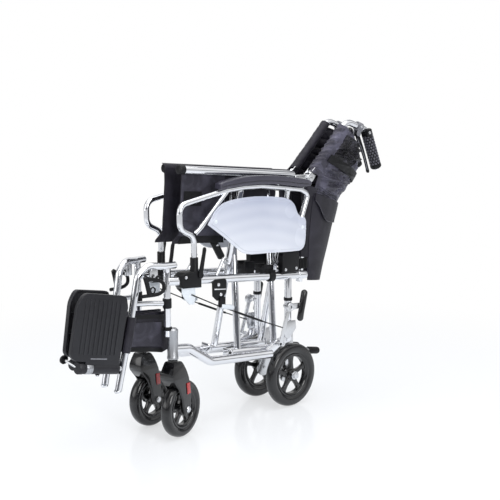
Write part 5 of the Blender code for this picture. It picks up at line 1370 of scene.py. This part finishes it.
def backPoint(t, s, side, lift=0.0, plain=False):
    rise = 0.0 if side > 0 else farRise

    def bare(t, s):
        cane, x, start, ridge = backRow(min(max(t, 0.0), backSize["top"]))
        length = (ridge - cane).length
        way = (ridge - cane) / length
        turn = s * pi / 2
        spot = cane + way * (start + (length - start) * sin(turn))
        up = rise * s * softStep(t, 10.2, backSize["top"])
        return Vector((x * max(cos(turn), 0.0) ** 0.9, spot.x, spot.y + up))

    here = bare(t, s)
    along = bare(t + 0.02, s) - bare(t - 0.02, s)
    wide = bare(t, min(1.0, s + 0.01)) - bare(t, max(0.0, s - 0.01))
    normal = along.cross(wide).normalized()
    if normal.x < 0:
        normal = -normal
    out = here + normal * (lift + (0.0 if plain else backDepth(t, s, side)))
    return at(side * max(out.x, ridgeGap), out.y, out.z)


def spread(low, high, count):
    return [fold(low, high, index / count) for index in range(count + 1)]


caneX = backHinge.x
bendSpan = (at(0, 0.25, 0.575), at(0, 0.285, 0.64))
hingeBand = (4.85, 6.35)


def sleeveRow(t, side):
    # round the cane, open where the back hinge comes through, then on to the panel's edge
    cane, x, start, ridge = backRow(t)
    way = (ridge - cane).normalized()
    closing = 1 - softStep(t, hingeBand[1], hingeBand[1] + 0.35)
    first = fold(80.0, 292.0, softStep(t, hingeBand[0] - 0.35, hingeBand[0]) * closing)
    row = []
    for step in range(17):
        angle = radians(fold(first, 360.0, step / 16))
        stray = 0.25 * noise.noise(Vector((t, angle, 2.0)))
        crest = (1 - abs(sin(pi * (t * 2.0 - angle * 0.45 + stray)))) ** 1.4
        rib = (0.004 * crest - 0.0006) * softStep(t, 6.3, 6.8) * (1.0 if side > 0 else 0.12)
        rib += 0.0009 * noise.noise(Vector((t * 2.2, angle, side * 4.0)))
        reach = x - caneX + rib
        spot = cane + way * (reach * sin(angle))
        row.append(at(side * (caneX + reach * cos(angle)), spot.x, spot.y))
    for step in range(1, 7):
        share = step / 6
        spot = cane + way * (start + 0.014) * share
        row.append(at(side * (x + 0.0012 * (1 - share)), spot.x, spot.y))
    return row


def flapPoint(s, v, side):
    # the flap's hem rises towards the cane and stands off the skirt
    low = 3.28 + 1.15 * (1 - softStep(s, 0.0, 0.42)) ** 1.6
    lift = 0.0062 - 0.0016 * v + 0.0012 * sin(s * 7.0) * (1 - v)
    return backPoint(fold(low, 4.82, v), s, side, lift, True)


def bandPoint(s, v, side):
    return backPoint(fold(7.8 + 0.1 * s, 8.6 + 0.2 * s, v), s, side, backSize["band"])


def pocketPoint(s, v, side):
    # crumpled in its middle, close to the panel along its edges
    t = fold(8.62 + 0.3 * s, 11.3 - 0.9 * abs(s - 0.3), v)
    bump = 0.011 * crumple(backPoint(t, s, side, 0.0), 22.0, 3.0 + side)
    bump *= softStep(v, 0, 0.2) * (1 - 0.6 * softStep(v, 0.8, 1.0))
    return backPoint(t, s, side, 0.002 + bump * softStep(s, 0.05, 0.14) * (1 - softStep(s, 0.4, 0.66) * 0.6))


for side in (1, -1):
    tag = sideName[side]
    frameBody, backBody = "frame_" + tag, "back_" + tag
    nodes, rests = ["back_skirt", "back_upper"], ["side_frame_" + tag, "back_cane_" + tag]
    # the near half takes the lighter quilt and the far half the dark cloth: one fabric painted lit and shaded
    wall, nearLitFarShadedFinish = backSize["wall"], "backQuilt" if side > 0 else "cloth"
    reach = backSize["top"] - (0.45 if side > 0 else 0.05)
    rows = [[backPoint(t, s, side) for s in spread(0, 1, 54)] for t in spread(0, reach, 210)]
    bend = (backBody, *bendSpan)
    hang("back_panel_" + tag, rows, wall, nearLitFarShadedFinish, frameBody, nodes, side < 0, None, bend)
    rows = [sleeveRow(t, side) for t in spread(*backSize["lowSleeve"], 70)]
    hang("low_sleeve_" + tag, rows, wall, "cloth", frameBody, nodes, side < 0)
    reach = backSize["nearEnd" if side > 0 else "farEnd"]
    rows = [sleeveRow(t, side) for t in spread(backSize["highSleeve"], reach, 170)]
    hang("high_sleeve_" + tag, rows, wall, nearLitFarShadedFinish, backBody, nodes, side < 0)
    rows = [
        [backPoint(fold(0.0, 4.75, v), s, side, 0.0022, True) for s in spread(0.0, 1, 30)]
        for v in spread(0, 1, 60)]
    hang("back_skirt_face_" + tag, rows, backSize["faceWall"], "cloth", frameBody, nodes, side < 0)
    rows = [[flapPoint(s, v, side) for s in spread(0.02, 1.0, 34)] for v in spread(0, 1, 34)]
    hang("back_flap_" + tag, rows, backSize["flapWall"], "cloth", frameBody, nodes, side < 0)
    # piping along the flap's hem, in the lighter quilt finish: painted highlight along the flap's edge
    piping = tubePiece([rows[0][k] + axisX * side * 0.0012 for k in range(0, 35, 2)], 0.0014, 0.004, 12, 3)
    piping.name = "flap_piping_highlight_" + tag
    dress(piping, "quilt", frameBody, nodes, 60)
    rests = ["back_cane_" + tag]
    rows = [[bandPoint(s, v, side) for s in spread(0.0, 0.97, 50)] for v in spread(0, 1, 22)]
    hang("back_band_" + tag, rows, backSize["bandWall"], "webbing", backBody, nodes, side < 0)
    rows = [[pocketPoint(s, v, side) for s in spread(0.05, 0.42 + 0.26 * v, 44)] for v in spread(0, 1, 40)]
    hang("back_pocket_" + tag, rows, wall, "lining", backBody, nodes, side < 0)
print("back cloth hung")

# the seat: two halves that hang from the seat rails, notched for the struts

seatSet = {"railX": 0.0375, "rail": 0.0125, "front": -0.264, "rear": 0.118, "wall": 0.002,
    "panelX": 0.0238, "frontDrop": 0.188, "rearDrop": 0.188,
    "notches": ((-0.1155, -0.069), (0.0425, 0.0895)), "notchDrop": 0.05, "lift": 0.0021}


def seatPoint(y, fall, side, lift=0.0):
    # fall runs from -1 at the rail's top through 0 at its inner side to 1 at the hem
    s = seatSet
    base = railZ(chairSet["seatRail"], y)
    if fall < 0:
        angle, reach = radians(180 + 88 * fall), s["rail"] + lift
        return at(side * (s["railX"] + reach * cos(angle)), y, base + reach * sin(angle))
    share = (y - s["front"]) / (s["rear"] - s["front"])
    drop = fold(s["frontDrop"], s["rearDrop"], share) * fall
    wave = 0.0016 * noise.noise(Vector((share * 5.0, fall * 1.6, side * 3.0))) * fall
    wave += 0.0006 * noise.noise(Vector((share * 22.0, fall * 9.0, side * 3.0)))
    x = fold(s["railX"] - s["rail"], s["panelX"], softStep(fall, 0.0, 0.25)) + wave + lift
    pull = -0.01 * softStep(fall, 0.0, 1.0) * (1 - share)
    pull -= 0.024 * softStep(fall, 0.85, 1.0) * (1 - softStep(share, 0.0, 0.16))
    return at(side * x, y + pull, base - drop)


def seatRows(side, lift, across, down):
    return [[seatPoint(y, fall, side, lift) for y in spread(*across)] for fall in spread(*down)]


def seatColumns(side):
    stops = [seatSet["front"] - (0.013 if side < 0 else 0)]
    for low, high in seatSet["notches"]:
        stops += [low, high]
    stops.append(seatSet["rear"])
    places = []
    for low, high in zip(stops, stops[1:]):
        count = max(6, int((high - low) / 0.0045))
        places += spread(low, high, count)[:-1]
    return places + [stops[-1]]


for side in (1, -1):
    tag = sideName[side]
    body, rests = "seat_" + tag, ["brace_outer" if side > 0 else "brace_inner"]
    columns = seatColumns(side)
    falls = spread(-1, 0, 10)[:-1] + spread(0, 1, 44)
    limit = seatSet["notchDrop"] / seatSet["frontDrop"]

    def stays(row, column):
        middle = (columns[column] + columns[column + 1]) / 2
        inNotch = any(low < middle < high for low, high in seatSet["notches"])
        return not (inNotch and falls[row + 1] > limit)

    def lay(name, points, wall, finish, keep=None):
        hang(name + tag, points, wall, finish, body, ["seat_" + tag], side > 0, keep)

    rows = [[seatPoint(y, fall, side) for y in columns] for fall in falls]
    lay("seat_sling_", rows, seatSet["wall"], "cloth", stays)
    lift = seatSet["lift"]
    if side < 0:
        rows = seatRows(side, lift, (-0.278, -0.262, 8), (0.03, 1.005, 40))
        lay("seat_front_binding_", rows, 0.0013, "webbing")
    for name, low, high in (("seat_hem_1_", -0.249, -0.1165), ("seat_hem_2_", -0.068, 0.0415)):
        lay(name, seatRows(side, lift, (low, high, 30), (0.905, 1.005, 6)), 0.0013, "webbing")
    start = -0.264 if side > 0 else -0.261
    rows = seatRows(side, lift, (start, -0.1175, 36), (0.06, 0.902, 40))
    # the near side's face takes the lighter quilt and the far side's the dark cloth: one fabric painted lit
    # and shaded
    lay("seat_face_", rows, 0.0012, "quilt" if side > 0 else "cloth")
    lay("seat_patch_", seatRows(side, 0.0042, (-0.256, -0.197, 16), (0.29, 0.49, 12)), 0.001, "webbing")
    if side > 0:
        rows = [
            [
                seatPoint(-0.2625 + 0.0005 * k, 1.0 + 0.3 * v, side,
                    0.002) + Vector((0, -0.01 * v + (k - 2) * 0.0022, 0))
                for k in range(5)]
            for v in spread(0, 1, 12)]
        lay("seat_tie_", rows, 0.002, "webbing")
print("seat hung")

# calf strap

strapSet = {"wall": 0.002,
    "route": (
        ((0.046, -0.4428, 0.338), (0.046, -0.4636, 0.252)),
        ((0.045, -0.395, 0.334), (0.045, -0.402, 0.242)),
        ((0.04, -0.345, 0.326), (0.04, -0.347, 0.23)),
        ((0.03, -0.316, 0.33), (0.03, -0.318, 0.236)),
        ((0.022, -0.326, 0.33), (0.022, -0.328, 0.236)),
        ((0.019, -0.41, 0.332), (0.019, -0.414, 0.238)),
        ((0.014, -0.416, 0.332), (0.014, -0.42, 0.238)),
        ((0.009, -0.408, 0.332), (0.009, -0.412, 0.238)),
        ((0.005, -0.33, 0.33), (0.005, -0.332, 0.236)),
        ((-0.003, -0.318, 0.33), (-0.003, -0.32, 0.236)),
        ((-0.01, -0.33, 0.33), (-0.01, -0.332, 0.236)),
        ((-0.014, -0.39, 0.334), (-0.014, -0.396, 0.242)),
        ((-0.018, -0.435, 0.338), (-0.014, -0.455, 0.252)))}


def smoothRoute(keys, steps):
    # a Catmull-Rom run through the strap's corner posts
    points = [keys[0]] + list(keys) + [keys[-1]]
    made = []
    for index in range(1, len(points) - 2):
        p0, p1, p2, p3 = points[index - 1:index + 3]
        for step in range(steps):
            t = step / steps
            made.append(
                0.5 * (
                    (2 * p1) + (p2 - p0) * t + (
                        2 * p0 - 5 * p1 + 4 * p2 - p3) * t * t + (3 * p1 - p0 - 3 * p2 + p3) * t ** 3))
    return made + [points[-2]]


for tag, keys in (("left", strapSet["route"][:7]), ("right", strapSet["route"][6:])):
    high = smoothRoute([Vector(post[0]) for post in keys], 8)
    low = smoothRoute([Vector(post[1]) for post in keys], 8)
    rows = []
    for v in spread(0, 1, 26):
        row = []
        for index, (upper, lower) in enumerate(zip(high, low)):
            spot = fold(upper, lower, v)
            spot.x += 0.001 * noise.noise(Vector((index * 0.35, v * 3.0, 1.0)))
            row.append(moved(spot))
        rows.append(row)
    hang("calf_strap_" + tag, rows, strapSet["wall"], "cloth", "footrest_" + tag, ["calf_strap"],
        tag == "left")
wrapTop, wrapLow = Vector((0.052, -0.4504, 0.338)), Vector((0.052, -0.4713, 0.252))
wrapSide = (wrapTop - wrapLow).normalized().cross(axisX)
wrap = [
    [
        moved(fold(wrapTop, wrapLow, v) + (axisX * cos(a) + wrapSide * sin(a)) * 0.0117)
        for a in spread(radians(-75), radians(255), 36)]
    for v in spread(0, 1, 20)]
hang("strap_wrap", wrap, strapSet["wall"], "cloth", "footrest_left", ["calf_strap"], True)
outer = strapSet["route"][:3]
for name, shares, lift, finish, span in (("strap_pad", (0.2, 0.86), 0.0024, "quilt", (2, 15)),
                                         ("strap_top_binding", (-0.01, 0.1), 0.0022, "webbing", (0, 16)),
                                         ("strap_low_binding", (0.9, 1.01), 0.0022, "webbing", (0, 16))):
    high = smoothRoute([Vector(post[0]) for post in outer], 8)[span[0]:span[1] + 1]
    low = smoothRoute([Vector(post[1]) for post in outer], 8)[span[0]:span[1] + 1]
    rows = [
        [moved(fold(upper, lower, v)) + axisX * lift for upper, lower in zip(high, low)]
        for v in spread(shares[0], shares[1], 20)]
    hang(name, rows, 0.0014, finish, "footrest_left", ["calf_strap"], True)
print("calf strap hung")

# floor, light and camera

stageSet = {"azimuth": 46.5, "elevation": 8.9, "lens": 74.9, "distance": 2.877, "aim": (0, 0, 0.45),
            "floorTint": (0.93, 0.96, 1.0), "nearCast": 0.45, "farCast": 1.7}


def floorMaterial():
    # a pale glossy floor that keeps the chair's shadow and fades to white away from it
    plain = {"Roughness": 0.13, "Specular IOR Level": 0.35}
    material, tree, shader, place = newMaterial("paleFloor", **plain)
    dapple = noiseOf(tree, place["Object"], 3.0, Detail=2.0)
    tint = stageSet["floorTint"]
    tree.links.new(
        mixColour(tree, product(tree, dapple, 0.05), tint, tuple(value * 0.97 for value in tint)),
        shader["Base Color"])
    white = addNode(tree, "ShaderNodeEmission", Color=(1, 1, 1, 1), Strength=1.0)
    path = tree.nodes.new("ShaderNodeLightPath").outputs
    reach = addNode(tree, "ShaderNodeVectorMath", operation="LENGTH")
    tree.links.new(place["Object"], reach.inputs[0])
    span = {"From Min": stageSet["nearCast"], "From Max": stageSet["farCast"], "To Min": 0.58}
    fade = addNode(tree, "ShaderNodeMapRange", interpolation_type="SMOOTHSTEP",
        Value=reach.outputs["Value"], **span)
    seen = mathNode(tree, "MAXIMUM", path["Is Camera Ray"], product(tree, path["Is Glossy Ray"], 0.6))
    blend = mixShader(tree,
        product(tree, fade.outputs["Result"], seen),
        tree.nodes["Principled BSDF"].outputs[0], white.outputs[0])
    tree.links.new(blend, tree.nodes["Material Output"].inputs["Surface"])
    return material


bpy.ops.mesh.primitive_plane_add(size=24.0, location=(0, 0, 0))
floor = bpy.context.object
floor.name = "studio_floor"
floor.data.materials.append(floorMaterial())

world = bpy.data.worlds.new("studioWorld")
bpy.context.scene.world = world
world.use_nodes = True
sky = world.node_tree
sky.nodes.clear()
output = sky.nodes.new("ShaderNodeOutputWorld")
path = sky.nodes.new("ShaderNodeLightPath").outputs
where = sky.nodes.new("ShaderNodeTexCoord").outputs["Generated"]
bands = addNode(sky, "ShaderNodeSeparateXYZ", Vector=where).outputs
# dark strips in what the metal mirrors: a low one all round and two upright ones
low = ramp(sky, mathNode(sky, "ABSOLUTE", mathNode(sky, "SUBTRACT", bands["Z"], 0.1)), 0.02, 0.15)
around = mathNode(sky, "SINE", product(sky, mathNode(sky, "ARCTAN2", bands["Y"], bands["X"]), 3.0))
upright = scaled(sky, ramp(sky, around, -0.8, -0.35), 0.75, 0.25)
strips = mixColour(sky, product(sky, low, upright), (0.1, 0.105, 0.12), (1.0, 1.0, 1.0))
plain, shine, seen = [
    addNode(sky, "ShaderNodeBackground", Color=colour, Strength=strength).outputs[0]
    for colour, strength in (((0.9, 0.94, 1.0, 1), 0.6), (strips, 1.0), ((1, 1, 1, 1), 1.0))]
through = mathNode(sky, "MAXIMUM", path["Is Camera Ray"], path["Is Transmission Ray"])
sky.links.new(
    mixShader(sky, through, mixShader(sky, path["Is Glossy Ray"], plain, shine), seen),
    output.inputs["Surface"])


def softbox(name, place, size, power):
    bpy.ops.object.light_add(type="AREA", location=place)
    item = bpy.context.object
    item.name = name
    item.data.shape = "RECTANGLE"
    item.data.size, item.data.size_y = size
    item.data.energy = power
    item.rotation_euler = (Vector((0, 0.05, 0.4)) - Vector(place)).to_track_quat("-Z", "Y").to_euler()
    return item


softbox("topSoftbox", (0.3, -0.3, 2.6), (2.6, 2.6), 44)
softbox("keySoftbox", (2.4, -0.6, 1.3), (0.8, 1.1), 22)
softbox("fillSoftbox", (-0.8, -2.6, 1.2), (1.8, 1.6), 14)

aim = at(*stageSet["aim"])
azimuth, elevation = radians(stageSet["azimuth"]), radians(stageSet["elevation"])
lookFrom = Vector((sin(azimuth) * cos(elevation), -cos(azimuth) * cos(elevation), sin(elevation)))
bpy.ops.object.camera_add(location=aim + lookFrom * stageSet["distance"])
camera = bpy.context.object
camera.name = "studioCamera"
camera.data.lens = stageSet["lens"]
camera.data.sensor_width = 36.0
camera.rotation_euler = (-lookFrom).to_track_quat("-Z", "Y").to_euler()
bpy.context.scene.camera = camera
bpy.context.scene.view_settings.view_transform = "Standard"
print("stage, light and camera set")
